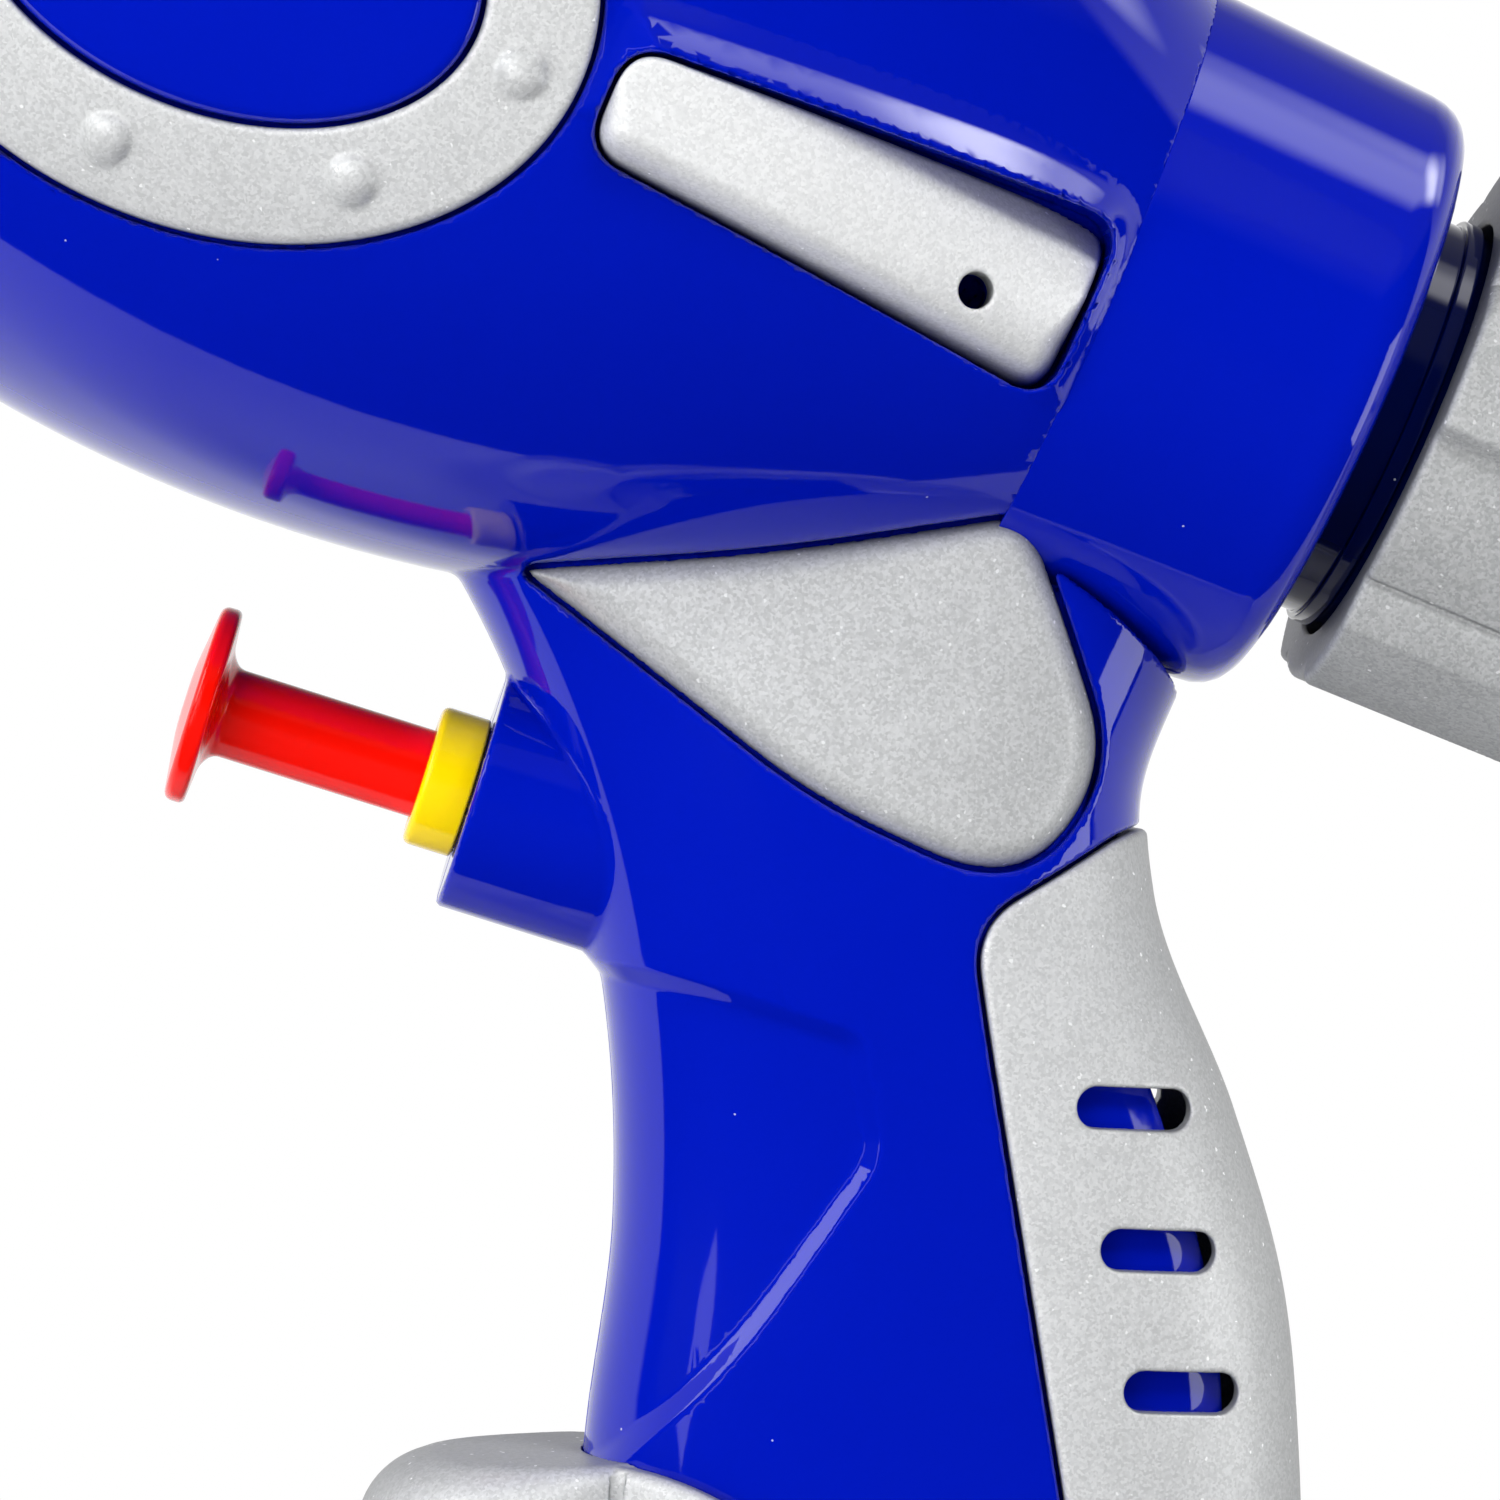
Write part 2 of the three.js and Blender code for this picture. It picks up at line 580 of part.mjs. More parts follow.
// Screw places as [x, z] with the frame that they are in.
const screwPlaces = [
  ...HANDLE_POSTS.map(([x, z]) => ({ x, z, frame: PART_FRAME })),
  ...BULB_POSTS.map((ahead) => {
    const x = -BULB_MIDDLE - ahead;
    return { x, z: bulbRadius(x, -POST_INSET), frame: BODY_FRAME };
  }),
];

function shells() {
  const boss = barX(0, GLAND_SPIGOT + BOSS_RADIUS, 0, 0, BOSS_RADIUS, TURNED_SEGMENTS, PUMP_FRAME);
  const outside = joined(turnedOutside(), handleOutside(), boss);
  const inside = joined(
    turnedInside(),
    handleInside(),
    barX(BOSS_FACE, GLAND_SPIGOT + BOSS_RADIUS, 0, 0, BOSS_BORE, TURNED_SEGMENTS, PUMP_FRAME),
    barX(-1, BOSS_FACE + 1, 0, 0, BOSS_HOLE, TURNED_SEGMENTS, PUMP_FRAME),
  );
  const posts = screwPlaces.map(({ x, z, frame }) => (
    barY(-FAR, FAR, x, z, POST_RADIUS, POST_SEGMENTS, frame)
  ));
  const whole = joined(cut(outside, inside), ...posts.map((post) => post.intersect(outside)));
  const half = cut(joined(whole, sideRaised()), sideRecesses()).intersect(leftHalf(FIT / 2));
  const shankHole = SCREW_RADIUS + RUNNING_FIT;
  const pilots = screwPlaces.map(({ x, z, frame }) => (
    barY(SCREW_SEAT - SCREW_LENGTH - FIT, FIT, x, z, shankHole, POST_SEGMENTS, frame)
  ));
  const wells = screwPlaces.map(({ x, z, frame }) => joined(
    barY(-FIT, SCREW_SEAT + FIT, x, z, shankHole, POST_SEGMENTS, frame),
    barY(SCREW_SEAT, FAR, x, z, WELL_RADIUS, POST_SEGMENTS, frame),
  ));
  return { left: cut(half, ...pilots), right: cut(mirrored(half), ...wells) };
}

// Trims

function ringTrim() {
  const band = cut(ringBand(0).intersect(bulb(RING_PROUD, BODY_FRAME)), bulb(-RING_DEPTH, BODY_FRAME));
  const rivets = Array.from({ length: RIVET_COUNT }, (_, k) => {
    const angle = radians((360 * k) / RIVET_COUNT + RIVET_START);
    const along = -RING_PLACE + ((RING_LENGTH - RING_BAND) / 2) * Math.cos(angle);
    const height = -SIDE_LINE_DROP + ((RING_HEIGHT - RING_BAND) / 2) * Math.sin(angle);
    const depth = Math.sqrt(bulbRadius(along, RING_PROUD + RIVET_RISE - RIVET_RADIUS) ** 2 - height ** 2);
    const ball = new THREE.SphereGeometry(RIVET_RADIUS, 6, 4).translate(along, -depth, height);
    return cut(toSolid(ball, BODY_FRAME), bulb(0, BODY_FRAME));
  });
  return joined(band, ...rivets);
}

// A bar with a rounded back that fills the slot's outline, resting on the slot's floor.
function slotInsert() {
  const steps = 6;
  const arcSteps = 8;
  const bar = loft(Array.from({ length: steps + 1 }, (_, k) => {
    const along = mix(-SLOT_FRONT, -SLOT_REAR, k / steps);
    const floor = bulbRadius(along, -SLOT_DEPTH + FIT);
    return Array.from({ length: arcSteps + 1 }, (__, i) => {
      const angle = (Math.PI * i) / arcSteps;
      const height = -SIDE_LINE_DROP - slotHalfHeight(along) * Math.cos(angle);
      return new THREE.Vector3(along, -floor - INSERT_CROWN * Math.sin(angle) ** INSERT_FULLNESS, height);
    }).concat([
      new THREE.Vector3(along, -floor + 2 * SLOT_DEPTH, -SIDE_LINE_DROP + slotHalfHeight(along)),
      new THREE.Vector3(along, -floor + 2 * SLOT_DEPTH, -SIDE_LINE_DROP - slotHalfHeight(along)),
    ]);
  }), BODY_FRAME);
  return cut(
    bar.intersect(prism(grown(slotOutline, -FIT), -FAR, 0, BODY_FRAME)),
    bulb(-SLOT_DEPTH + FIT, BODY_FRAME),
    barY(-FAR, 0, -VENT_PLACE, -VENT_DROP, VENT_RADIUS, SMALL_SEGMENTS, BODY_FRAME),
  );
}

const sidePad = () => cut(
  handleSkin(padOutline, PAD_PROUD, -TRIM_DEPTH, 0),
  bulb(FIT, BODY_FRAME),
  collarRoom(FIT),
);

function backstrap() {
  const slots = Array.from({ length: STRAP_SLOTS }, (_, k) => {
    const end = (STRAP_SLOT_LENGTH - STRAP_SLOT_HEIGHT) / 2;
    const obround = new THREE.Path().absarc(end, 0, STRAP_SLOT_HEIGHT / 2, -Math.PI / 2, Math.PI / 2)
      .absarc(-end, 0, STRAP_SLOT_HEIGHT / 2, Math.PI / 2, (3 * Math.PI) / 2);
    const middle = new THREE.Vector2(STRAP_SLOT_X, STRAP_SLOT_Z)
      .addScaledVector(new THREE.Vector2(STRAP_SLOT_STEP_X, STRAP_SLOT_STEP_Z), k);
    const origin = new THREE.Vector2();
    return prism(obround.getPoints(3).slice(0, -1).map((point) => (
      point.rotateAround(origin, -radians(STRAP_SLOT_TILT)).add(middle).toArray()
    )), -FAR, FAR);
  });
  return cut(handleSkin(strapOutline, STRAP_PROUD, -TRIM_DEPTH, FAR), shoeRoom(), ...slots);
}

// The toe's sections draw in towards its top, so that it ends in a round edge.
function toe() {
  const steps = 5;
  const roundRings = Array.from({ length: steps }, (_, k) => {
    const angle = (Math.PI / 2) * ((k + 1) / (steps + 0.5));
    return { z: SHOE_TOP - TOE_ROUND * (1 - Math.sin(angle)), inset: TOE_ROUND * (1 - Math.cos(angle)) };
  });
  const rings = [
    { z: 0, inset: TOE_FOOT },
    { z: TOE_FOOT, inset: 0 },
    { z: SHOE_TOP - TOE_ROUND, inset: 0 },
    ...roundRings,
  ];
  return loft(rings.map(({ z, inset }) => (
    levelRing(TOE_FRONT + inset, TOE_REAR, TOE_HALF_WIDTH - inset, z)
  )));
}

function baseShoe() {
  const cup = prism(shoeOutline, -FAR, FAR).intersect(joined(handle(SHOE_WALL), toe()));
  return cut(cup, handle(FIT).subtract(belowHeight(SHOE_FLOOR)));
}

// Turned pieces of the body, along its axis

const rearCollar = () => turnedRing([
  [-COLLAR_LENGTH, COLLAR_BORE],
  [-COLLAR_LENGTH, COLLAR_RADIUS],
  [0, COLLAR_RADIUS - COLLAR_TAPER, COLLAR_EDGE],
  [0, COLLAR_MOUTH],
  [-COLLAR_FLANGE, COLLAR_MOUTH],
  [-COLLAR_FLANGE, COLLAR_BORE],
], BODY_SEGMENTS);

const noseRing = () => turnedRing([
  [-BULB_NOSE - FIT, BARREL_ROOT_RADIUS + FIT],
  [-BULB_NOSE - FIT, NOSE_RADIUS + NOSE_RING_STEP, NOSE_RING_ROUND],
  [-BULB_NOSE - FIT - NOSE_RING_LENGTH, NOSE_RADIUS + NOSE_RING_STEP, NOSE_RING_ROUND],
  [-BULB_NOSE - FIT - NOSE_RING_LENGTH, BARREL_ROOT_RADIUS + FIT],
], BODY_SEGMENTS);

const muzzleRing = () => turnedRing([
  [-SPIGOT_ROOT - FIT, SPIGOT_RADIUS + FIT],
  [-SPIGOT_ROOT - FIT, BARREL_TIP_RADIUS],
  [-BARREL_TIP, MUZZLE_RADIUS, MUZZLE_ROUND],
  [-BARREL_TIP - FIT - MUZZLE_LIP, MUZZLE_RADIUS, MUZZLE_ROUND],
  [-BARREL_TIP - FIT - MUZZLE_LIP, NOZZLE_RADIUS + FIT],
  [-BARREL_TIP - FIT, NOZZLE_RADIUS + FIT],
  [-BARREL_TIP - FIT, SPIGOT_RADIUS + FIT],
], TURNED_SEGMENTS);

const nozzleFlangeEnd = -BARREL_TIP + NOZZLE_FLANGE;
const nozzle = () => turnedRing([
  [-BARREL_TIP - FIT - MUZZLE_LIP - NOZZLE_REACH, JET_RADIUS],
  [-BARREL_TIP - FIT - MUZZLE_LIP - NOZZLE_REACH, NOZZLE_TIP_RADIUS, NOZZLE_EDGE],
  [-BARREL_TIP - FIT - MUZZLE_LIP, NOZZLE_RADIUS, NOZZLE_EDGE],
  [-BARREL_TIP, NOZZLE_RADIUS],
  [-BARREL_TIP, BARREL_BORE - FIT],
  [nozzleFlangeEnd, BARREL_BORE - FIT],
  [nozzleFlangeEnd, BARB_RADIUS],
  [nozzleFlangeEnd + BARB_LENGTH, BARB_RADIUS],
  [nozzleFlangeEnd + BARB_LENGTH, JET_RADIUS],
], SMALL_SEGMENTS);

// Radius of the bottle, for its wall moved in by a depth. It runs out into the neck.
const tankRadius = (along, depth) => Math.max(bulbRadius(along, -TANK_INSET - depth), NECK_RADIUS - depth);
const tankOutletEnd = tankRadius(-TANK_OUTLET, 0) + TANK_OUTLET_LENGTH;

// The bottle: inside the bulb it keeps clear of the screw posts, and its neck runs out through the collar.
function reservoir() {
  const steps = 4;
  const wall = (front, end, depth) => Array.from({ length: steps + 1 }, (_, k) => {
    const along = mix(front, end, k / steps);
    return [along, tankRadius(along, depth)];
  });
  const bodyEnd = -COLLAR_LENGTH - BULB_WALL - 2 * FIT;
  const neckBore = NECK_RADIUS - NECK_WALL;
  const bottle = revolve([
    [-TANK_FRONT, 0],
    ...wall(-TANK_FRONT, bodyEnd, 0),
    [NECK_BEAD_PLACE, NECK_RADIUS],
    [NECK_BEAD_PLACE, NECK_RADIUS + NECK_BEAD],
    [NECK_BEAD_PLACE + NECK_BEAD_WIDTH, NECK_RADIUS + NECK_BEAD],
    [NECK_BEAD_PLACE + NECK_BEAD_WIDTH, NECK_RADIUS],
    [NECK_LENGTH, NECK_RADIUS],
    [NECK_LENGTH, neckBore],
    [bodyEnd, neckBore],
    ...wall(-TANK_FRONT + TANK_WALL, bodyEnd - TANK_WALL, TANK_WALL).reverse(),
    [-TANK_FRONT + TANK_WALL, 0],
  ], INNER_SEGMENTS);
  const inside = tankRadius(-TANK_OUTLET, TANK_WALL);
  const barbEnd = tankOutletEnd + BARB_LENGTH;
  const outlet = joined(
    barZ(-tankOutletEnd, -inside - TANK_WALL / 2, -TANK_OUTLET, 0, TUBE_RADIUS),
    barZ(-barbEnd, -inside - TANK_WALL / 2, -TANK_OUTLET, 0, BARB_RADIUS, POST_SEGMENTS),
  );
  const passage = barZ(-barbEnd - 1, -inside + TANK_WALL, -TANK_OUTLET, 0, BARB_BORE, POST_SEGMENTS);
  return cut(joined(bottle, outlet), passage);
}

// Screw cap with broad lobes, each with a step on one flank and a ramp on the other. They fade out towards
// its rounded end.
function lobedRing(along, radius, dip) {
  return Array.from({ length: CAP_LOBES }, (_, k) => CAP_LOBE.map(([degrees, share]) => {
    const angle = radians((360 * k) / CAP_LOBES + degrees);
    const reach = radius - dip * share;
    return new THREE.Vector3(along, -reach * Math.cos(angle), -reach * Math.sin(angle));
  })).flat();
}

function fillerCap() {
  const body = loft([
    lobedRing(CAP_GAP, CAP_RADIUS - CAP_EDGE, CAP_DIP),
    lobedRing(CAP_GAP + CAP_EDGE, CAP_RADIUS, CAP_DIP),
    lobedRing(CAP_REAR - CAP_ROUND, CAP_RADIUS - CAP_DRAFT, CAP_DIP),
    lobedRing(CAP_REAR - CAP_ROUND / 3, CAP_RADIUS - CAP_ROUND / 3, 0),
    lobedRing(CAP_REAR, CAP_RADIUS - CAP_ROUND, 0),
  ]);
  return cut(body, barX(CAP_GAP - 1, CAP_INSIDE_END, 0, 0, CAP_BORE, TURNED_SEGMENTS));
}

const capGasket = () => turnedRing([
  [GASKET_FRONT, NECK_RADIUS - NECK_WALL - 1],
  [GASKET_FRONT, CAP_BORE - FIT],
  [GASKET_FRONT + GASKET_THICKNESS, CAP_BORE - FIT],
  [GASKET_FRONT + GASKET_THICKNESS, NECK_RADIUS - NECK_WALL - 1],
], TURNED_SEGMENTS);

// Pump pieces, along the pump's axis

const discBack = GLAND_FRONT - STROKE - DISC_STANDOFF - DISC_CONE;
const sealFront = PISTON_FRONT + (PISTON_LENGTH - SEAL_WIDTH) / 2;
const triggerPlunger = () => revolve([
  [discBack - DISC_RIM - DISC_DOME, 0],
  [discBack - DISC_RIM - DISC_DOME * 0.75, DISC_RADIUS / 2],
  ...softened([
    [discBack - DISC_RIM, DISC_RADIUS, DISC_EDGE],
    [discBack, DISC_RADIUS, DISC_EDGE],
    [discBack + DISC_CONE, ROD_RADIUS],
  ]),
  [PISTON_FRONT, ROD_RADIUS],
  [PISTON_FRONT, GLAND_RADIUS],
  [sealFront - RUNNING_FIT, GLAND_RADIUS],
  [sealFront - RUNNING_FIT, GLAND_RADIUS - SEAL_DEPTH],
  [sealFront + SEAL_WIDTH + RUNNING_FIT, GLAND_RADIUS - SEAL_DEPTH],
  [sealFront + SEAL_WIDTH + RUNNING_FIT, GLAND_RADIUS],
  [PISTON_BACK, GLAND_RADIUS],
  [PISTON_BACK, 0],
], TURNED_SEGMENTS);

const pistonSeal = () => turnedRing([
  [sealFront, GLAND_RADIUS - SEAL_DEPTH + RUNNING_FIT],
  [sealFront, CYLINDER_BORE - RUNNING_FIT],
  [sealFront + SEAL_WIDTH, CYLINDER_BORE - RUNNING_FIT],
  [sealFront + SEAL_WIDTH, GLAND_RADIUS - SEAL_DEPTH + RUNNING_FIT],
], TURNED_SEGMENTS);

const pumpGland = () => turnedRing([
  [GLAND_FRONT, GLAND_BORE],
  [GLAND_FRONT, BOSS_HOLE + GLAND_LIP, GLAND_EDGE],
  [-FIT, BOSS_HOLE + GLAND_LIP],
  [-FIT, GLAND_RADIUS],
  [GLAND_SPIGOT, GLAND_RADIUS],
  [GLAND_SPIGOT, GLAND_BORE],
], TURNED_SEGMENTS);

const pumpCylinder = () => turnedRing([
  [BOSS_FACE + FIT, CYLINDER_BORE],
  [BOSS_FACE + FIT, CYLINDER_RADIUS],
  [CYLINDER_END, CYLINDER_RADIUS],
  [CYLINDER_END, PORT_PASSAGE],
  [CYLINDER_INSIDE_END, PORT_PASSAGE],
  [CYLINDER_INSIDE_END, CYLINDER_BORE],
], TURNED_SEGMENTS);

class Helix extends THREE.Curve {
  constructor(radius, from, to, turns) {
    super();
    Object.assign(this, { radius, from, to, turns });
  }

  getPoint(t, target = new THREE.Vector3()) {
    const angle = 2 * Math.PI * this.turns * t;
    const along = mix(this.from, this.to, t);
    return target.set(along, this.radius * Math.cos(angle), this.radius * Math.sin(angle));
  }
}

const round = (radius) => new THREE.Shape().absarc(0, 0, radius, 0, 2 * Math.PI);

function returnSpring() {
  const clear = FIT + SPRING_WIRE;
  const radius = CYLINDER_BORE - clear;
  const coil = new Helix(radius, PISTON_BACK + clear, CYLINDER_INSIDE_END - clear, SPRING_TURNS);
  return toSolid(new THREE.ExtrudeGeometry(round(SPRING_WIRE), {
    steps: SPRING_TURNS * 8,
    curveSegments: 2,
    extrudePath: coil,
  }));
}

const chamberTop = BALL_SEAT + 2 * BALL_RADIUS + BALL_TRAVEL + 2 * RUNNING_FIT;

// The pump's end: two ports side by side, each with a ball chamber and a barb for its tube.
function valveBlock() {
  const port = (y) => joined(
    barZ(0, PORT_TOP, PORT_PLACE, y, TUBE_RADIUS + FIT),
    barZ(0, PORT_TOP + BARB_LENGTH, PORT_PLACE, y, BARB_RADIUS, POST_SEGMENTS),
  );
  const passages = (y) => joined(
    barZ(0, PORT_TOP + BARB_LENGTH + 1, PORT_PLACE, y, BARB_BORE, POST_SEGMENTS),
    barZ(BALL_SEAT, chamberTop, PORT_PLACE, y, BALL_RADIUS + FIT, POST_SEGMENTS),
  );
  const drum = barX(BLOCK_FRONT, BLOCK_FRONT + BLOCK_LENGTH, 0, 0, CYLINDER_RADIUS, TURNED_SEGMENTS);
  return cut(
    joined(drum, port(-PORT_SPREAD), port(PORT_SPREAD)),
    barX(BLOCK_FRONT - 1, PORT_PLACE + PORT_PASSAGE, 0, 0, PORT_PASSAGE),
    barY(-PORT_SPREAD, PORT_SPREAD, PORT_PLACE, 0, BARB_BORE + RUNNING_FIT, POST_SEGMENTS),
    passages(-PORT_SPREAD),
    passages(PORT_SPREAD),
  );
}

const ball = () => toSolid(new THREE.SphereGeometry(BALL_RADIUS, 8, 5));

// Tubes: each runs from barb to barb, and its points are places in the frames of what it passes

const inBody = (x, y, z) => new THREE.Vector3(x, y, z).applyMatrix4(BODY_FRAME);
const inPump = (x, y, z) => new THREE.Vector3(x, y, z).applyMatrix4(PUMP_FRAME);

// Rings round a path, each in the plane that halves the bend at its point.
function sweep(path, radius) {
  const ways = path.slice(1).map((point, i) => point.clone().sub(path[i]).normalize());
  const turn = new THREE.Quaternion().setFromUnitVectors(new THREE.Vector3(0, 0, 1), ways[0]);
  return loft(path.map((point, i) => {
    const before = ways[Math.max(i - 1, 0)];
    const after = ways[Math.min(i, ways.length - 1)];
    const facing = before.clone().add(after);
    const ring = ellipse(0, 0, 2 * radius, 2 * radius, TUBE_SIDES).map(([x, y]) => {
      const spoke = new THREE.Vector3(x, y, 0).applyQuaternion(turn);
      return spoke.addScaledVector(before, -spoke.dot(facing) / before.dot(facing)).add(point);
    });
    turn.premultiply(new THREE.Quaternion().setFromUnitVectors(before, after));
    return ring;
  }));
}

function tube(corners) {
  const path = corners.flatMap((corner, i) => {
    if (i === 0 || i === corners.length - 1) return [corner];
    const [start, end] = [corners[i - 1], corners[i + 1]].map((next) => (
      corner.clone().addScaledVector(next.clone().sub(corner).normalize(), TUBE_BEND)
    ));
    return new THREE.QuadraticBezierCurve3(start, corner, end).getPoints(2);
  });
  const beyond = (end, next) => end.clone().add(end).sub(next);
  const bore = [beyond(path[0], path[1]), ...path.slice(1, -1), beyond(path.at(-1), path.at(-2))];
  return cut(sweep(path, TUBE_RADIUS), sweep(bore, TUBE_BORE));
}

const portMouth = PORT_TOP + FIT;
const suctionTube = () => tube([
  inBody(-TANK_OUTLET, 0, -tankOutletEnd - FIT),
  inBody(-TANK_OUTLET, 0, -tankOutletEnd - TUBE_END),
  inPump(PORT_PLACE, -PORT_SPREAD, PORT_TOP + TUBE_END),
  inPump(PORT_PLACE, -PORT_SPREAD, portMouth),
]);

// A place on the belly of the bulb where a tube lies along the inside of the shell.
const bellyClear = BULB_WALL + TUBE_CLEARANCE + TUBE_RADIUS;
const onBelly = (place) => {
  const drop = Math.sqrt(bulbRadius(-place, -bellyClear) ** 2 - BELLY_SIDE ** 2);
  return inBody(-place, BELLY_SIDE, -drop);
};
const deliveryTube = () => tube([
  inPump(PORT_PLACE, PORT_SPREAD, portMouth),
  inPump(PORT_PLACE, PORT_SPREAD, PORT_TOP + TUBE_END),
  inPump(DELIVERY_BEND_PLACE, BELLY_SIDE, DELIVERY_BEND_RISE),
  ...[0, 1, 2, 3].map((k) => onBelly(mix(TANK_OUTLET + BELLY_LEAD, TANK_FRONT + FIT, k / 3))),
  inBody(-BULB_NOSE, 0, 0),
  inBody(nozzleFlangeEnd + FIT, 0, 0),
]);

const headSeat = SCREW_SEAT + RUNNING_FIT;
const shellScrew = () => joined(
  barY(headSeat, headSeat + SCREW_HEAD_HEIGHT, 0, 0, SCREW_HEAD_RADIUS, POST_SEGMENTS),
  barY(SCREW_SEAT - SCREW_LENGTH, SCREW_SEAT + 1, 0, 0, SCREW_RADIUS, POST_SEGMENTS),
);

// Materials

const finish = (color, roughness, metalness = 0) => (
  new THREE.MeshStandardMaterial({ color, roughness, metalness })
);
const BLUE = finish(0x0018b0, 0.12);
const SILVER = finish(0xc3c6c4, 0.45, 0.6);
const RED = finish(0xf00a00, 0.2);
const YELLOW = finish(0xffdc00, 0.3);
const CLEAR = finish(0xd8e4ea, 0.15);
const WHITE = finish(0xe8e8e4, 0.4);
const RUBBER = finish(0x202020, 0.7);
const STEEL = finish(0x9a9da0, 0.3, 1);

// Assembly

const squirter = new THREE.Group();
const body = new THREE.Group();
body.position.set(BODY_REAR_X, 0, BODY_REAR_Z);
body.rotation.y = radians(BODY_TILT);
const pump = new THREE.Group();
pump.position.set(PUMP_X, 0, PUMP_Z);
pump.rotation.y = radians(PUMP_TILT);
squirter.add(body, pump);

function place(group, name, solid, material) {
  const mesh = new THREE.Mesh(toGeometry(solid), material);
  mesh.name = name;
  group.add(mesh);
  return mesh;
}

const { left, right } = shells();
place(squirter, 'left_shell', left, BLUE);
place(squirter, 'right_shell', right, BLUE);
for (const [name, make] of [['ring_trim', ringTrim], ['slot_insert', slotInsert], ['side_pad', sidePad]]) {
  const trim = make();
  place(squirter, `left_${name}`, trim, SILVER);
  place(squirter, `right_${name}`, mirrored(trim), SILVER);
}
place(squirter, 'grip_backstrap', backstrap(), SILVER);
place(squirter, 'base_shoe', baseShoe(), SILVER);
place(squirter, 'suction_tube', suctionTube(), CLEAR);
place(squirter, 'delivery_tube', deliveryTube(), CLEAR);

place(body, 'rear_collar', rearCollar(), BLUE);
place(body, 'nose_ring', noseRing(), SILVER);
place(body, 'muzzle_ring', muzzleRing(), SILVER);
place(body, 'nozzle', nozzle(), RED);
place(body, 'reservoir', reservoir(), BLUE);
place(body, 'filler_cap', fillerCap(), SILVER);
place(body, 'cap_gasket', capGasket(), RUBBER);

place(pump, 'trigger_plunger', triggerPlunger(), RED);
place(pump, 'piston_seal', pistonSeal(), RUBBER);
place(pump, 'return_spring', returnSpring(), STEEL);
place(pump, 'pump_gland', pumpGland(), YELLOW);
place(pump, 'pump_cylinder', pumpCylinder(), WHITE);
place(pump, 'valve_block', valveBlock(), WHITE);
const ballHeight = BALL_SEAT + RUNNING_FIT + BALL_RADIUS;
place(pump, 'inlet_ball', ball(), STEEL).position.set(PORT_PLACE, -PORT_SPREAD, ballHeight);
place(pump, 'outlet_ball', ball(), STEEL).position.set(PORT_PLACE, PORT_SPREAD, ballHeight);

screwPlaces.forEach(({ x, z, frame }, k) => {
  const group = frame === BODY_FRAME ? body : squirter;
  place(group, `shell_screw_${k + 1}`, shellScrew(), STEEL).position.set(x, 0, z);
});

export default squirter;
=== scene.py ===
# Looks of the water squirter: moulded shells and trims, turned pieces, finishes, stage, light and camera.
import json
import math
from functools import reduce

import bpy
import numpy as np
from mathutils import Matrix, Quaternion, Vector


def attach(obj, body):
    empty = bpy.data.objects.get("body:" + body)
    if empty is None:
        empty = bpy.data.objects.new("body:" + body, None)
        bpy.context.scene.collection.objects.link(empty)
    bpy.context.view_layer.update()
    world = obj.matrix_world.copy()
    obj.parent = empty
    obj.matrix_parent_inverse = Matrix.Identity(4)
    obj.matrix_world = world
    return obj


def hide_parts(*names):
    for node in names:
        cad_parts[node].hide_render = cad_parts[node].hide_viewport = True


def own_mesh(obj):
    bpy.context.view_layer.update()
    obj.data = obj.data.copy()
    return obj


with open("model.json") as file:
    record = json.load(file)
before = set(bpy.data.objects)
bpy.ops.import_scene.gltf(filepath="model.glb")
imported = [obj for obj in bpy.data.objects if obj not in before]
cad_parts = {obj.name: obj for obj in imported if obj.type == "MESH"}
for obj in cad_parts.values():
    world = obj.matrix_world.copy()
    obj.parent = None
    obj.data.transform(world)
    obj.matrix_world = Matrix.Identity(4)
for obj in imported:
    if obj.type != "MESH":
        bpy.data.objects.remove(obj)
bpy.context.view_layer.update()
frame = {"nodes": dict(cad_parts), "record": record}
MM = 0.001

# Lengths in millimetres and angles in degrees, nearly all as in the part's source
FIT = 0.3
BODY_PLACE = (34.5, 90.9)
BODY_TILT = 23.3
PUMP_PLACE = (-23.9, 65.3)
PUMP_TILT = 17.6

# Bulb, barrel, collar and neck, along the body's axis
BULB_RADIUS = 36
BULB_MIDDLE = 70.7
BULB_ARC = 100.74
BULB_WALL = 6
BULB_NOSE = 130.95
BARREL_ROOT_RADIUS = 11.5
BARREL_TIP_RADIUS = 9.5
BARREL_TIP = 173.95
BARREL_BORE = 6.5
SPIGOT_RADIUS = 8.3
SPIGOT_ROOT = 167.95
BARREL_LAP = 4
BARREL_ROOM = 8
END_WALL = 3
SLEEVE_BORE = 14.3
SLEEVE_RADIUS = 18.2
SLEEVE_MIDDLE = -14
SLEEVE_HALF_LENGTH = 11.5
SLEEVE_ROOM = 6
COLLAR_BORE = 18.5
COLLAR_RADIUS = 21.9
COLLAR_TAPER = 0.8
COLLAR_LENGTH = 19.3
COLLAR_FLANGE = 2.2
COLLAR_MOUTH = 14.8
COLLAR_SEAT = 0.15
COLLAR_ROOM_ROUND = 0.4
NECK_RADIUS = 14
NECK_BORE = 12
NECK_LENGTH = 20
BEAD_PLACE = 2.4
BEAD_WIDTH = 1.2
BEAD_RISE = 0.5
TANK_FRONT = 106.95
TANK_END = -22.3
TANK_INSET = 9.8
TANK_WALL = 1.5
TANK_ROUND = 5
TANK_RINGS = 9
TANK_OUTLET = 34
OUTLET_ROOT = 17
OUTLET_FOOT = 21.3
OUTLET_TIP = 24.8
OUTLET_FOOT_RADIUS = 2.2
OUTLET_TIP_RADIUS = 1.2
OUTLET_BORE = 0.6
NOSE_RING_LENGTH = 6
NOSE_RING_RADIUS = 16.8
MUZZLE_RING_FACE = 3
MUZZLE_RING_BORE = 3.9
MUZZLE_RING_RADIUS = 12.5
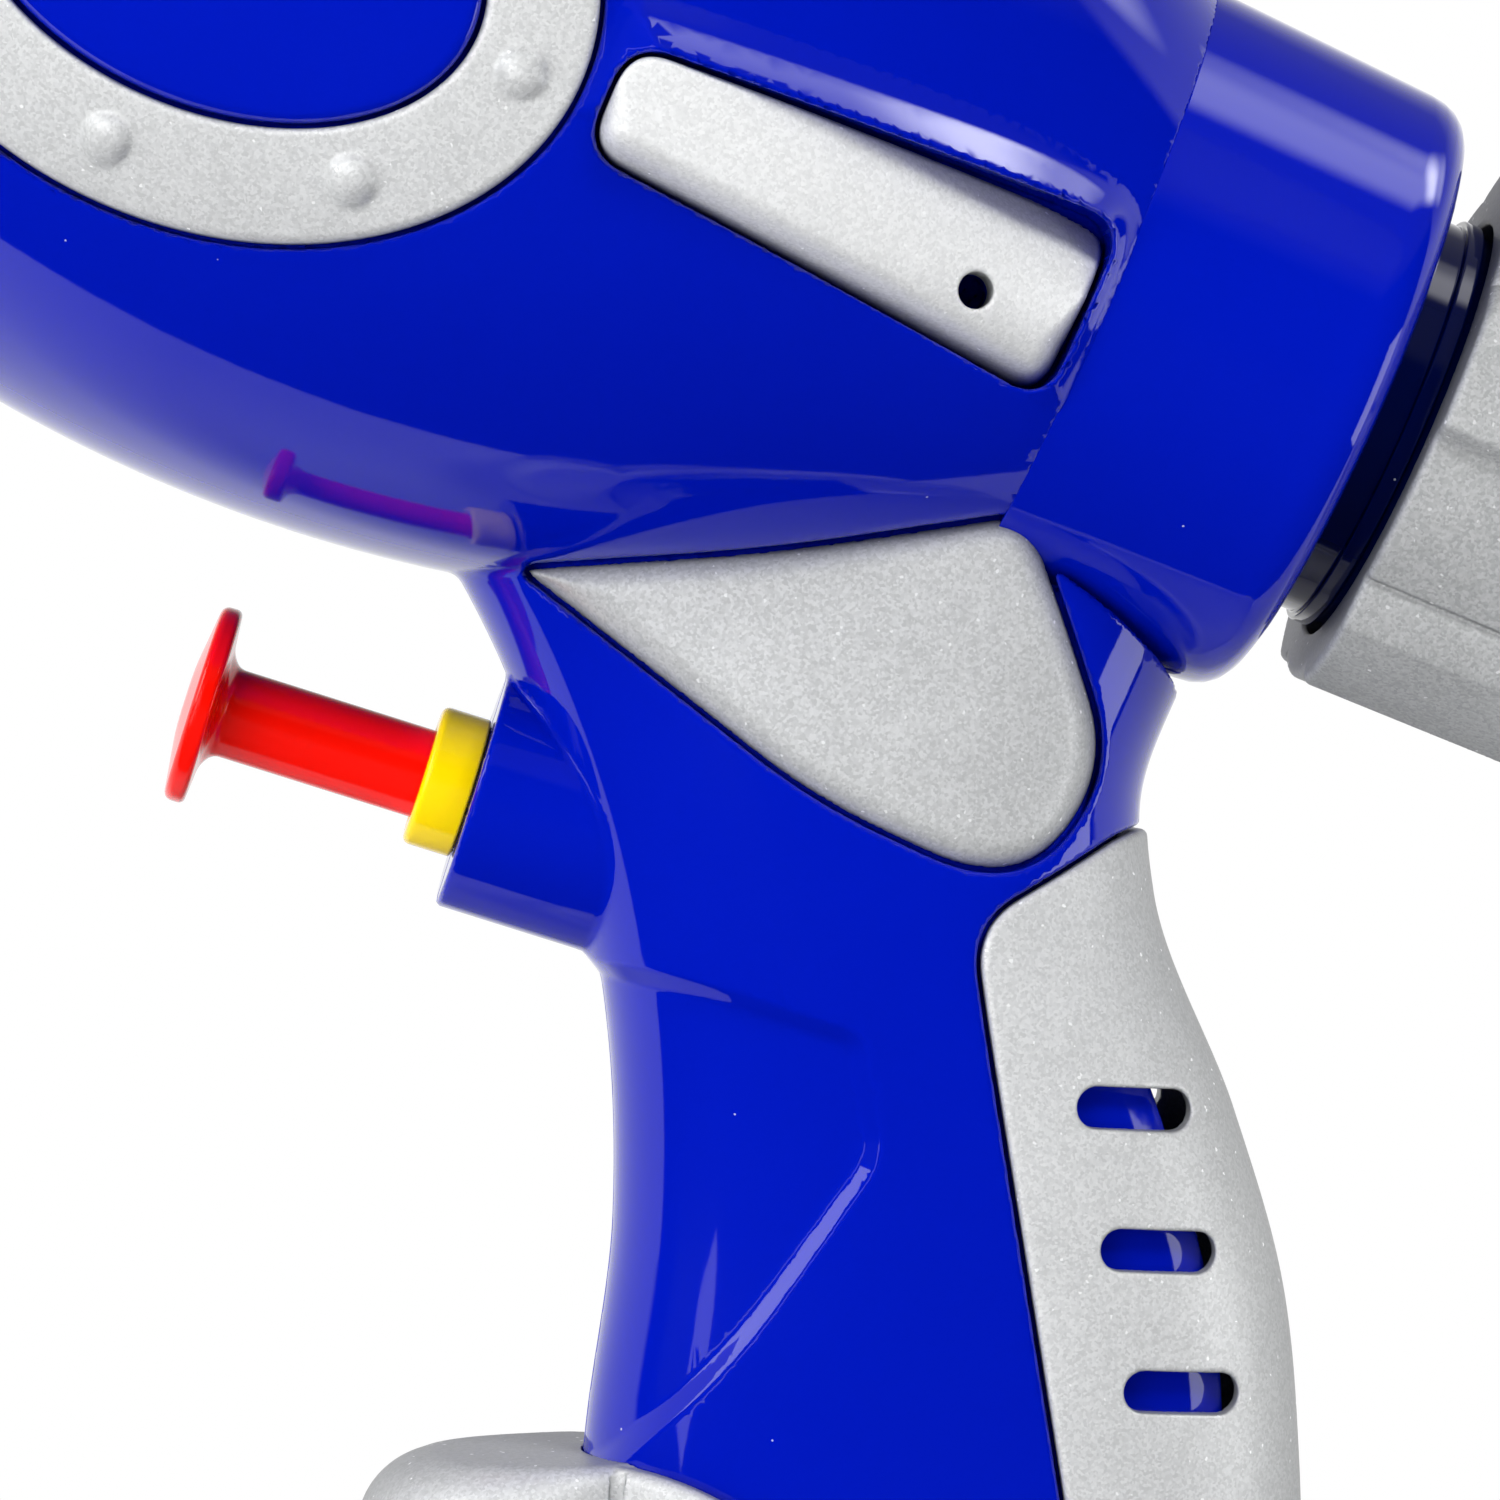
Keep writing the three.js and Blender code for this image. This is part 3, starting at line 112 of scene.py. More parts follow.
NOZZLE_TIP = 8
NOZZLE_TIP_RADIUS = 2.4
NOZZLE_RADIUS = 3.6
NOZZLE_BORE = 0.6
NOZZLE_FLANGE = 5
NOZZLE_FLANGE_RADIUS = 6.2
NOZZLE_TAIL = 8.5
NOZZLE_TAIL_RADIUS = 1.2

# Ring, dome and slot on the bulb's sides
SIDE_LINE = -3.5
RING_PLACE = -79.8
RING_HALF_LENGTH = 24.1
RING_HALF_HEIGHT = 18.3
RING_BAND = 7
RING_PROUD = 0.5
RING_DEPTH = 1.1
RING_ROUND = 0.55
RIVETS = 8
RIVET_START = -4
RIVET_RADIUS = 1.65
RIVET_RISE = 0.9
RIVET_FILLET = 0.2
DOME_RISE = 0.7
DOME_ROOT = 3
DOME_ROUND = 0.7
SLOT_FRONT = -54
SLOT_REAR = -20.4
SLOT_FRONT_HALF = 3.8
SLOT_REAR_HALF = 5.8
SLOT_TOP = (3.4, 6.5)
SLOT_CORNER = 2.8
SLOT_DEPTH = 3.6
SLOT_ROUND = 0.25
BROW_CORNERS = [
    [-55, -5, 0], [-54.9, 2.6, 1.2], [-43.3, 4, 6], [-26.2, 5.7, 7], [-20.2, 4.7, 2.5], [-19.4, 2, 1.5],
    [-19.4, -9, 0],
]
BROW_SLOPE = 0.68
BROW_ROOT = 3
BROW_FILLET = 0.7
INSERT_RISE = (2.2, 0.3)
INSERT_CREST = -0.4
INSERT_TOP_FALL = (0.1, 1.0)
INSERT_LOW_FALL = 3.6
INSERT_ROUND = (2, 0.4)
INSERT_ROUND_REACH = 0.6
FACET_FRONT = -46
FACET_WIDTH = 2.9
FACET_SLOPE = 0.9
FACET_ROUND = 0.25
VENT = (-27.7, -4.9)
VENT_RADIUS = 1.15
VENT_DEPTH = 2
VENT_ROUND = 0.2

# Handle, its trims and the shoe
GRIP_FRONT = [[0, -18.2], [22, -17.2], [37, -15.3], [53, -16.1], [72.8, -21.5], [92, -32]]
GRIP_REAR = [
    [0, 30.6], [20, 31], [33, 29.7], [44, 26.5], [58.5, 21.1], [65, 20.8], [72, 23.4], [92, 36],
]
GRIP_HALF_WIDTH = 14
GRIP_POWER = 2.25
GRIP_WALL = 2.8
GRIP_TOP = 88
GRIP_ROOF = 8
GRIP_FILLET = 0.5
PAD_CORNERS = [
    [-20.8, 79.9, 1], [-5, 80.9, 6], [11.9, 83.4, 2.4], [14.6, 76.2, 4], [18, 66.5, 5], [11.2, 58.8, 6.5],
    [-2, 65, 5],
]
STRAP_CORNERS = [[40, 63, 0], [19.2, 62.6, 2], [8.4, 56.7, 3.4], [9.4, 49.6, 3], [16.6, 5, 0], [40, 5, 0]]
PANEL_CORNERS = [
    [-24, 55.6, 0], [-9.5, 53.4, 3], [1.4, 49.9, 1.6], [2.7, 41.6, 2], [-7.4, 27.2, 6], [-24, 12.6, 0],
]
TRIM_DEPTH = 1.2
RECESS_ROUND = 0.3
SIDE_START = -1
PAD_PROUD = 0.7
PAD_ROUND = 2.2
STRAP_PROUD = 0.5
STRAP_ROUND = 0.5
PANEL_DEPTH = 0.8
PANEL_BEVEL = 1.5
PANEL_EASE = 0.28
REAR_OPENING = 5.3
REAR_OPENING_MIDDLE = 36
REAR_OPENING_HALF_HEIGHT = 13
STRAP_SLOTS = 3
STRAP_SLOT = (19.1, 44.6)
STRAP_SLOT_STEP = (1.55, -9.3)
STRAP_SLOT_LENGTH = 8
STRAP_SLOT_HEIGHT = 2.75
STRAP_SLOT_TILT = 4.5
STRAP_SLOT_ROUND = 0.3
SHOE_WALL = 2.2
SHOE_FLOOR = 3
SHOE_EDGE = [[-60, 21.3, 0], [-11.5, 21.3, 5], [9, 9.5, 9], [60, 9.5, 0]]
TOE_FRONT = -31.6
TOE_REAR = -8.9
TOE_HALF_WIDTH = 11.5
TOE_ROUND = (5.5, 1.6)
TOE_BLEND = (-27, -17)
TOE_TOP = 21.3
SHOE_GAP = 0.06
SHOE_GROOVE = 0.4
SHOE_RIM_ROUND = 0.9
SHOE_SOLE_ROUND = 0.6
SHOE_INNER_ROUND = 0.12

# Pump, cap and screws
BOSS_RADIUS = 8.05
BOSS_FACE = 2
BOSS_HOLE = 4.3
BOSS_BORE = 5.9
BOSS_END = 30
BOSS_LENGTH = 18
BOSS_ROUND = 0.35
ROD_RADIUS = 3
DISC_RADIUS = 6.7
DISC_BACK = -17.95
DISC_RIM = 1.35
DISC_DOME = 0.6
DISC_CONE = 0.9
DISC_FLAT = 2
DISC_HUB = 3.9
DISC_HUB_DEPTH = 0.25
PISTON_FRONT = 7.3
PISTON_BACK = 12.3
PISTON_RADIUS = 4
SEAL_FRONT = 9.05
SEAL_BACK = 10.55
SEAL_ROOM = 0.15
SEAL_DEPTH = 1.2
SPRING_ENDS = (12.95, 29.35)
SPRING_WIRE = 0.35
SPRING_TURNS = 6
SPRING_RADIUS = 3.65
SPRING_EASE = 0.12
GLAND_FRONT = -3.4
GLAND_SEAT = -0.06
GLAND_LIP = 4.75
GLAND_BORE = 3.15
GLAND_SPIGOT = 7
CAP_GAP = 3.9
CAP_BORE = 14.9
CAP_RADIUS = 19.3
CAP_DRAFT = 0.5
CAP_INSIDE_END = 22.6
CAP_REAR = 26
CAP_ROUND = 5
CAP_MOUTH_ROUND = 0.6
CAP_BORE_ROUND = 0.3
CAP_LOBES = 5
CAP_DIP = 1.3
CAP_STEP = 4
CAP_RAMP = (38, 48)
CAP_EASE = 0.25
CREASE_DEPTH = 0.3
CREASE_WIDTH = 0.8
GASKET_ENDS = (20.3, 22.3)
GASKET_BORE = 11
GASKET_RADIUS = 14.6
SCREW_SEAT = 6.15
HEAD_RADIUS = 2.2
HEAD_HEIGHT = 1.8
HEAD_ROUND = 0.7
HEAD_FOOT_ROUND = 0.15
CROSS_HALF_WIDTH = 0.35
CROSS_REACH = 1.25
CROSS_FLOOR = 0.9
CROSS_ROUND = 0.12
SHANK_RADIUS = 1.1
SHANK_MIDDLE = -6.5
SHANK_HALF_LENGTH = 6.6
SHANK_ROUND = 0.2
WELL_RADIUS = 2.5
POST_RADIUS = 3.4
GRIP_POSTS = [[6, 43.5], [2, 25]]
BULB_POSTS = [-48, -93.99]
POST_INSET = 5.8

# Shares that bring the slope of a steep distance back to about one
BROW_EVEN = 0.88
INSERT_EVEN = 0.7
SHOE_EDGE_EVEN = 0.85
CAP_EVEN = 0.9

# Meshing
SEAM_GAP = 0.12
SEAM_ROUND = 0.25
INNER_ROUND = 0.25
SHELL_CELL = 0.4
TRIM_CELL = 0.25
SHELL_FACES = 150000
TRIM_FACES = 60000
BLOCK = 8
BLOCKS_AT_ONCE = 1200
SHELL_BOX = ((-136, -38, 2), (35, 1, 175))
SCREW_BOX = ((-3, -14, -3), (3, 3, 3))

# Finishes
DUST_RADIUS = 0.035
DUST_SHARE = 0.08
SPECK_LIFT = 0.35
SPECK_TINT = 0.6
WAVE_HEIGHT = 6.0
PEEL_DEPTH = 0.00001
CLOUD_SHARE = 0.35
FLAKE_SPREAD = 0.13
SIDE_ON_SHARES = (0.33, 0.48)
SILVER_ROUGHNESS = 0.4
SILVER_PEEL = 0.3
GLINT_START = 0.997
GLINT_LIFT = 0.22
GLINT_LIMIT = 0.95
GLINT_ROUGHNESS = 0.28

# Stage, light and camera, in metres and watts
FLOOR_EDGE = -0.008
FLOOR_REACH = 3
FLOOR_FADE = (0.09, 0.135)
PAPER_START = (-0.03, 0.05)
PAPER_FOOT = (-0.25, -0.15)
PAPER_FADE = (0.2, 0.6)
PAPER_TOP = 0.2
CEILING_FADE = (0.42, 0.5)
CEILING_LEVEL = (0.01, 0.1)
ROOM_LEVEL = 0.12
WINDOW_ALONG = (0.54, 0.64, -0.54)
WINDOW_ACROSS = (-0.373, 0.751, 0.517)
WINDOW_ENDS = ((-0.42, -0.32), (0.42, 0.3))
WINDOW_SIDES = ((-0.03, 0.1), (0.45, 0.2))
WINDOW_MIDDLE = ((-0.12, 0.04), (0.22, 0.06))
WINDOW_LEVEL = 3.2
WINDOW_MIDDLE_LIFT = 8.0
LAMP_AIM = (-0.01, 0, 0.08)
CAMERA_PLACE = (-0.037, -0.467, 0.07787)
CAMERA_AIM = (-0.00533, 0, 0.06787)
CAMERA_LENS = 168.55
CAMERA_SENSOR = 36


# Frames and distances
def in_frame(points, place, tilt):
    turn = math.radians(tilt)
    x = points[:, 0] - place[0]
    z = points[:, 2] - place[1]
    return x * math.cos(turn) - z * math.sin(turn), points[:, 1], x * math.sin(turn) + z * math.cos(turn)


def out_of_frame(points, place, tilt):
    turn = math.radians(tilt)
    along, side, up = points.T
    x = place[0] + along * math.cos(turn) + up * math.sin(turn)
    z = place[1] - along * math.sin(turn) + up * math.cos(turn)
    return np.stack([x, side, z], -1)


def shared(*forms):
    """The room that all the forms share, with sharp edges."""
    return reduce(np.maximum, forms)


def joined(*forms):
    """The forms as one, with sharp inner corners."""
    return reduce(np.minimum, forms)


def both(a, b, rounding):
    """The room that two forms share, with a rounded outer edge."""
    edge = np.hypot(np.maximum(rounding + a, 0), np.maximum(rounding + b, 0))
    return np.minimum(-rounding, np.maximum(a, b)) + edge


def either(a, b, rounding):
    """Two forms joined, with a filleted inner corner."""
    edge = np.hypot(np.maximum(rounding - a, 0), np.maximum(rounding - b, 0))
    return np.maximum(rounding, np.minimum(a, b)) - edge


def between(ends, share):
    return ends[0] + (ends[1] - ends[0]) * share


def eased(share, ease):
    """A straight ramp from 0 to 1, with its two ends rounded."""
    share = np.clip(share, 0, 1)
    near = np.minimum(share, 1 - share)
    ramp = np.where(near < ease, near * near / (2 * ease), near - ease / 2) / (1 - ease)
    return np.where(share < 0.5, ramp, 1 - ramp)


def bend(start, middle, end, t):
    return (1 - t) ** 2 * start + 2 * t * (1 - t) * middle + t * t * end


def softened(corners, steps=10):
    """An outline of [x, z, rounding] as points, with its corners rounded off."""
    points = []
    ring = np.array(corners, float)
    for before, corner, after in zip(np.roll(ring, 1, 0), ring, np.roll(ring, -1, 0)):
        middle = corner[:2]
        if not corner[2]:
            points.append(middle)
            continue
        ends = []
        for other in (before[:2], after[:2]):
            reach = np.linalg.norm(other - middle)
            ends.append(middle + (other - middle) * min(corner[2] / reach, 0.5))
        for t in np.linspace(0, 1, steps + 1):
            points.append(bend(ends[0], middle, ends[1], t))
    return np.array(points)


def outline_distance(x, z, outline, margin=4.0):
    """Distance from a closed outline, exact near it and at least the margin further out."""
    low = outline.min(0) - margin
    high = outline.max(0) + margin
    outside = np.maximum.reduce([low[0] - x, x - high[0], low[1] - z, z - high[1]])
    result = outside + margin
    near = outside < 0
    px = x[near]
    pz = z[near]
    nearest = np.full(px.shape, np.inf)
    inside = np.zeros(px.shape, bool)
    for (ax, az), (bx, bz) in zip(outline, np.roll(outline, -1, 0)):
        ex = bx - ax
        ez = bz - az
        t = np.clip(((px - ax) * ex + (pz - az) * ez) / max(ex * ex + ez * ez, 1e-9), 0, 1)
        nearest = np.minimum(nearest, (px - ax - t * ex) ** 2 + (pz - az - t * ez) ** 2)
        if az != bz:
            inside ^= ((az > pz) != (bz > pz)) & (px < ax + (pz - az) * ex / ez)
    result[near] = np.where(inside, -1, 1) * np.sqrt(nearest)
    return result


def oval_distance(x, z, half_length, half_height):
    level = np.hypot(x / half_length, z / half_height)
    slope = np.hypot(x / half_length ** 2, z / half_height ** 2)
    return level * (level - 1) / np.maximum(slope, 1e-5)


def edge_curve(knots):
    z, x = np.array(knots, float).T
    slope = np.gradient(x, z)

    def curve(height):
        i = np.clip(np.searchsorted(z, height) - 1, 0, len(z) - 2)
        step = z[i + 1] - z[i]
        t = (np.clip(height, z[0], z[-1]) - z[i]) / step
        ends = x[i] * (1 + 2 * t) * (1 - t) ** 2 + x[i + 1] * t * t * (3 - 2 * t)
        return ends + step * t * (1 - t) * (slope[i] * (1 - t) - slope[i + 1] * t)

    return curve


grip_front = edge_curve(GRIP_FRONT)
grip_rear = edge_curve(GRIP_REAR)


def squared_oval(x, y, front, rear, half_width):
    """Distance from a level section that is a little squarer than an ellipse."""
    half = (rear - front) / 2
    u = np.abs(x - (front + rear) / 2) / half
    v = np.abs(y) / half_width
    level = np.maximum((u ** GRIP_POWER + v ** GRIP_POWER) ** (1 / GRIP_POWER), 0.15)
    slope = np.hypot(u ** (GRIP_POWER - 1) / half, v ** (GRIP_POWER - 1) / half_width)
    return (level - 1) / np.maximum(level ** (1 - GRIP_POWER) * slope, 0.02)


def grip_distance(points):
    x, y, z = points.T
    return squared_oval(x, y, grip_front(z), grip_rear(z), GRIP_HALF_WIDTH)


def bulb_distance(along, radius):
    return np.hypot(along + BULB_MIDDLE, radius - (BULB_RADIUS - BULB_ARC)) - BULB_ARC


PAD_OUTLINE = softened(PAD_CORNERS)
STRAP_OUTLINE = softened(STRAP_CORNERS)
PANEL_OUTLINE = softened(PANEL_CORNERS)
SLOT_OUTLINE = softened([
    [SLOT_FRONT, SIDE_LINE - SLOT_FRONT_HALF, SLOT_CORNER],
    [SLOT_REAR, SIDE_LINE - SLOT_REAR_HALF, SLOT_CORNER],
    [SLOT_REAR, SIDE_LINE + SLOT_TOP[1], SLOT_CORNER],
    [SLOT_FRONT, SIDE_LINE + SLOT_TOP[0], SLOT_CORNER],
])
BROW_OUTLINE = softened(BROW_CORNERS)
SHOE_LINE = softened(SHOE_EDGE)[1:-1]


def slot_half(along):
    share = (along - SLOT_FRONT) / (SLOT_REAR - SLOT_FRONT)
    return between((SLOT_FRONT_HALF, SLOT_REAR_HALF), share)


def panelled(points, grip):
    """Distance from the handle, with its front panel sunk."""
    panel = outline_distance(points[:, 0], points[:, 2], PANEL_OUTLINE)
    return grip + PANEL_DEPTH * eased(-panel / PANEL_BEVEL, PANEL_EASE)


def shoe_edge_distance(x, z):
    return SHOE_EDGE_EVEN * (z - np.interp(x, SHOE_LINE[:, 0], SHOE_LINE[:, 1]))


# Moulded forms, with the shells and the side trims drawn on the left
def body_of_shell(along, radius, bulb):
    """Bulb, sleeve, barrel and spigot about the body's axis."""
    body = shared(bulb, along + COLLAR_LENGTH - COLLAR_SEAT, -BULB_NOSE - along)
    sleeve = shared(radius - SLEEVE_RADIUS, np.abs(along - SLEEVE_MIDDLE) - SLEEVE_HALF_LENGTH)
    share = np.clip((-BULB_NOSE - along) / (BARREL_TIP - BULB_NOSE), 0, 1)
    barrel_radius = between((BARREL_ROOT_RADIUS, BARREL_TIP_RADIUS), share)
    barrel = shared(radius - barrel_radius, along + BULB_NOSE - BARREL_LAP, -SPIGOT_ROOT - along)
    spigot = shared(radius - SPIGOT_RADIUS, along + BULB_NOSE, -BARREL_TIP - along)
    return joined(body, sleeve, barrel, spigot)


def shell_outside(points):
    x, _, z = points.T
    along, side, up = in_frame(points, BODY_PLACE, BODY_TILT)
    radius = np.hypot(side, up)
    bulb = bulb_distance(along, radius)
    ring_x = along - RING_PLACE
    ring_z = up - SIDE_LINE
    body = body_of_shell(along, radius, bulb)

    grip = grip_distance(points)
    handle = shared(panelled(points, grip), z - GRIP_TOP, SHOE_FLOOR + FIT - z)
    collar_room = shared(radius - COLLAR_RADIUS - FIT, -along - COLLAR_LENGTH - FIT)
    handle = both(handle, -collar_room, COLLAR_ROOM_ROUND)
    body = either(body, handle, GRIP_FILLET)

    pump_along, pump_side, pump_up = in_frame(points, PUMP_PLACE, PUMP_TILT)
    pump_radius = np.hypot(pump_side, pump_up)
    boss = shared(both(pump_radius - BOSS_RADIUS, -pump_along, BOSS_ROUND), pump_along - BOSS_LENGTH)
    body = either(body, boss, BOSS_ROUND)

    outer = oval_distance(ring_x, ring_z, RING_HALF_LENGTH + FIT, RING_HALF_HEIGHT + FIT)
    inset = RING_BAND + FIT
    inner = oval_distance(ring_x, ring_z, RING_HALF_LENGTH - inset, RING_HALF_HEIGHT - inset)
    body = both(body, -shared(outer, -inner, -bulb - RING_DEPTH - FIT), RECESS_ROUND)
    dome = shared(both(inner, bulb - DOME_RISE, DOME_ROUND), -bulb - DOME_ROOT)
    body = joined(body, dome)

    to_slot = outline_distance(along, up, SLOT_OUTLINE)
    to_brow = outline_distance(along, up, BROW_OUTLINE)
    brow = shared(BROW_EVEN * (bulb + BROW_SLOPE * to_brow), to_brow, -bulb - BROW_ROOT)
    body = either(body, brow, BROW_FILLET)
    body = both(body, -shared(to_slot, -bulb - SLOT_DEPTH), SLOT_ROUND)

    for outline in (PAD_OUTLINE, STRAP_OUTLINE):
        recess = shared(outline_distance(x, z, outline) - FIT, -grip - TRIM_DEPTH - FIT)
        body = both(body, -recess, RECESS_ROUND)
    return body, grip, bulb, along, up, radius, pump_along, pump_radius


def post_places():
    """Middles [x, z] of the posts that the screws go into."""
    posts = [tuple(place) for place in GRIP_POSTS]
    for along in BULB_POSTS:
        drop = math.sqrt(BULB_ARC ** 2 - (along + BULB_MIDDLE) ** 2) + BULB_RADIUS - BULB_ARC - POST_INSET
        x, _, z = out_of_frame(np.array([[along, 0.0, -drop]]), BODY_PLACE, BODY_TILT)[0]
        posts.append((x, z))
    return posts


POSTS = post_places()


def shell_distance(points, wells=False):
    body, grip, bulb, along, up, radius, pump_along, pump_radius = shell_outside(points)
    x, y, z = points.T
    bulb_room = shared(bulb + BULB_WALL, along + COLLAR_LENGTH + END_WALL, END_WALL - BULB_NOSE - along)
    grip_room = shared(grip + GRIP_WALL, SHOE_FLOOR + GRIP_WALL - z, z - GRIP_TOP + GRIP_ROOF)
    collar_wall = shared(radius - COLLAR_RADIUS - FIT - GRIP_WALL, -along - COLLAR_LENGTH - END_WALL)
    grip_room = shared(grip_room, -collar_wall)
    sleeve_room = shared(radius - SLEEVE_BORE, -along - COLLAR_LENGTH - SLEEVE_ROOM)
    barrel_room = shared(radius - BARREL_BORE, along + BULB_NOSE - BARREL_ROOM)
    rear_opening = grip_rear(z) - REAR_OPENING - x
    rear_opening = shared(rear_opening, np.abs(z - REAR_OPENING_MIDDLE) - REAR_OPENING_HALF_HEIGHT)
    posts = joined(*[np.hypot(x - post_x, z - post_z) for post_x, post_z in POSTS])
    rooms = joined(bulb_room, grip_room, sleeve_room, barrel_room, rear_opening)
    rooms = shared(rooms, POST_RADIUS - posts)

    pump_bore = shared(pump_radius - BOSS_BORE, BOSS_FACE - pump_along, pump_along - BOSS_END)
    pump_hole = shared(pump_radius - BOSS_HOLE, pump_along - BOSS_END)
    vent = np.hypot(along - VENT[0], up - VENT[1]) - VENT_RADIUS
    vent = shared(vent, -bulb - SLOT_DEPTH - VENT_DEPTH)
    hollow = joined(rooms, pump_bore, pump_hole, vent)
    if wells:
        hollow = joined(hollow, shared(posts - WELL_RADIUS, y + SCREW_SEAT))
    body = both(body, -hollow, INNER_ROUND)
    return both(body, y + SEAM_GAP, SEAM_ROUND)


def ring_trim_distance(points):
    along, side, up = in_frame(points, BODY_PLACE, BODY_TILT)
    bulb = bulb_distance(along, np.hypot(side, up))
    x = along - RING_PLACE
    z = up - SIDE_LINE
    outer = oval_distance(x, z, RING_HALF_LENGTH, RING_HALF_HEIGHT)
    inner = oval_distance(x, z, RING_HALF_LENGTH - RING_BAND, RING_HALF_HEIGHT - RING_BAND)
    band = both(shared(outer, -inner), bulb - RING_PROUD, RING_ROUND)
    band = shared(band, -bulb - RING_DEPTH)
    sphere = (RIVET_RADIUS ** 2 + RIVET_RISE ** 2) / (2 * RIVET_RISE)
    for k in range(RIVETS):
        turn = math.radians(360 * k / RIVETS + RIVET_START)
        rivet_x = (RING_HALF_LENGTH - RING_BAND / 2) * math.cos(turn)
        rivet_z = (RING_HALF_HEIGHT - RING_BAND / 2) * math.sin(turn)
        off = np.hypot(x - rivet_x, z - rivet_z)
        head = np.hypot(off, bulb - RING_PROUD - RIVET_RISE + sphere) - sphere
        band = either(band, shared(head, -bulb - RING_DEPTH), RIVET_FILLET)
    return shared(band, side - SIDE_START)


def slot_insert_distance(points):
    along, side, up = in_frame(points, BODY_PLACE, BODY_TILT)
    bulb = bulb_distance(along, np.hypot(side, up))
    outline = outline_distance(along, up, SLOT_OUTLINE) + FIT
    share = np.clip((along - SLOT_FRONT) / (SLOT_REAR - SLOT_FRONT), 0, 1)
    height = (up - SIDE_LINE) / slot_half(along) - INSERT_CREST
    fall = np.where(height > 0, between(INSERT_TOP_FALL, share), INSERT_LOW_FALL) * height ** 2
    reach = np.clip((along - FACET_FRONT) / (SLOT_REAR - FACET_FRONT), 0, 1)
    over = up - SIDE_LINE - between(SLOT_TOP, share) + FACET_WIDTH * reach
    facet = FACET_SLOPE * (np.hypot(over, FACET_ROUND) + over) / 2
    back = INSERT_EVEN * (bulb - between(INSERT_RISE, share) + fall + facet)
    rounding = between(INSERT_ROUND, np.clip(height / INSERT_ROUND_REACH, 0, 1))
    insert = shared(both(back, outline, rounding), -bulb - SLOT_DEPTH + FIT)
    vent = np.hypot(along - VENT[0], up - VENT[1]) - VENT_RADIUS
    return both(insert, -vent, VENT_ROUND)


def side_pad_distance(points):
    grip = grip_distance(points)
    outline = outline_distance(points[:, 0], points[:, 2], PAD_OUTLINE)
    pad = both(outline, grip - PAD_PROUD, PAD_ROUND)
    return shared(pad, -grip - TRIM_DEPTH, points[:, 1] - SIDE_START)


def backstrap_distance(points):
    grip = grip_distance(points)
    x = points[:, 0]
    z = points[:, 2]
    outline = outline_distance(x, z, STRAP_OUTLINE)
    strap = both(outline, grip - STRAP_PROUD, STRAP_ROUND)
    turn = math.radians(STRAP_SLOT_TILT)
    for k in range(STRAP_SLOTS):
        dx = x - STRAP_SLOT[0] - k * STRAP_SLOT_STEP[0]
        dz = z - STRAP_SLOT[1] - k * STRAP_SLOT_STEP[1]
        run = dx * math.cos(turn) - dz * math.sin(turn)
        rise = dx * math.sin(turn) + dz * math.cos(turn)
        reach = (STRAP_SLOT_LENGTH - STRAP_SLOT_HEIGHT) / 2
        slot = np.hypot(np.maximum(np.abs(run) - reach, 0), rise) - STRAP_SLOT_HEIGHT / 2
        strap = both(strap, -slot, STRAP_SLOT_ROUND)
    above_shoe = FIT - shoe_edge_distance(x, z)
    return shared(strap, -grip - TRIM_DEPTH, above_shoe)


def base_shoe_distance(points):
    x, y, z = points.T
    grip = grip_distance(points)
    cup_side = grip - SHOE_WALL
    toe_side = squared_oval(x, y, np.full(x.shape, TOE_FRONT), np.full(x.shape, TOE_REAR), TOE_HALF_WIDTH)
    towards_grip = np.clip((x - TOE_BLEND[0]) / (TOE_BLEND[1] - TOE_BLEND[0]), 0, 1)
    toe = both(toe_side, z - TOE_TOP, between(TOE_ROUND, towards_grip))
    cup = both(cup_side, shoe_edge_distance(x, z), SHOE_RIM_ROUND)
    shoe = shared(joined(cup, toe), SHOE_GROOVE - np.hypot(cup_side, toe_side))
    shoe = both(shoe, -z, SHOE_SOLE_ROUND)
    room = shared(panelled(points, grip) - SHOE_GAP, SHOE_FLOOR - z)
    return both(shoe, -room, SHOE_INNER_ROUND)


def cap_distance(points):
    along, side, up = in_frame(points, BODY_PLACE, BODY_TILT)
    radius = np.hypot(side, up)
    phase = np.mod(np.degrees(np.arctan2(-up, -side)), 360 / CAP_LOBES)
    down = eased(phase / CAP_STEP, CAP_EASE)
    back = np.clip((phase - CAP_RAMP[0]) / (CAP_RAMP[1] - CAP_RAMP[0]), 0, 1)
    crease = CREASE_DEPTH * np.exp(-((phase - CAP_RAMP[0]) / CREASE_WIDTH) ** 2)
    dip = CAP_DIP * (down - back) + crease
    dip *= np.clip((CAP_REAR - along) / CAP_ROUND, 0, 1)
    wall = radius - CAP_RADIUS + CAP_DRAFT * (along - CAP_GAP) / (CAP_REAR - CAP_GAP) + dip
    cap = both(CAP_EVEN * wall, along - CAP_REAR, CAP_ROUND)
    cap = both(cap, CAP_GAP - along, CAP_MOUTH_ROUND)
    room = shared(radius - CAP_BORE, along - CAP_INSIDE_END)
    return both(cap, -room, CAP_BORE_ROUND)


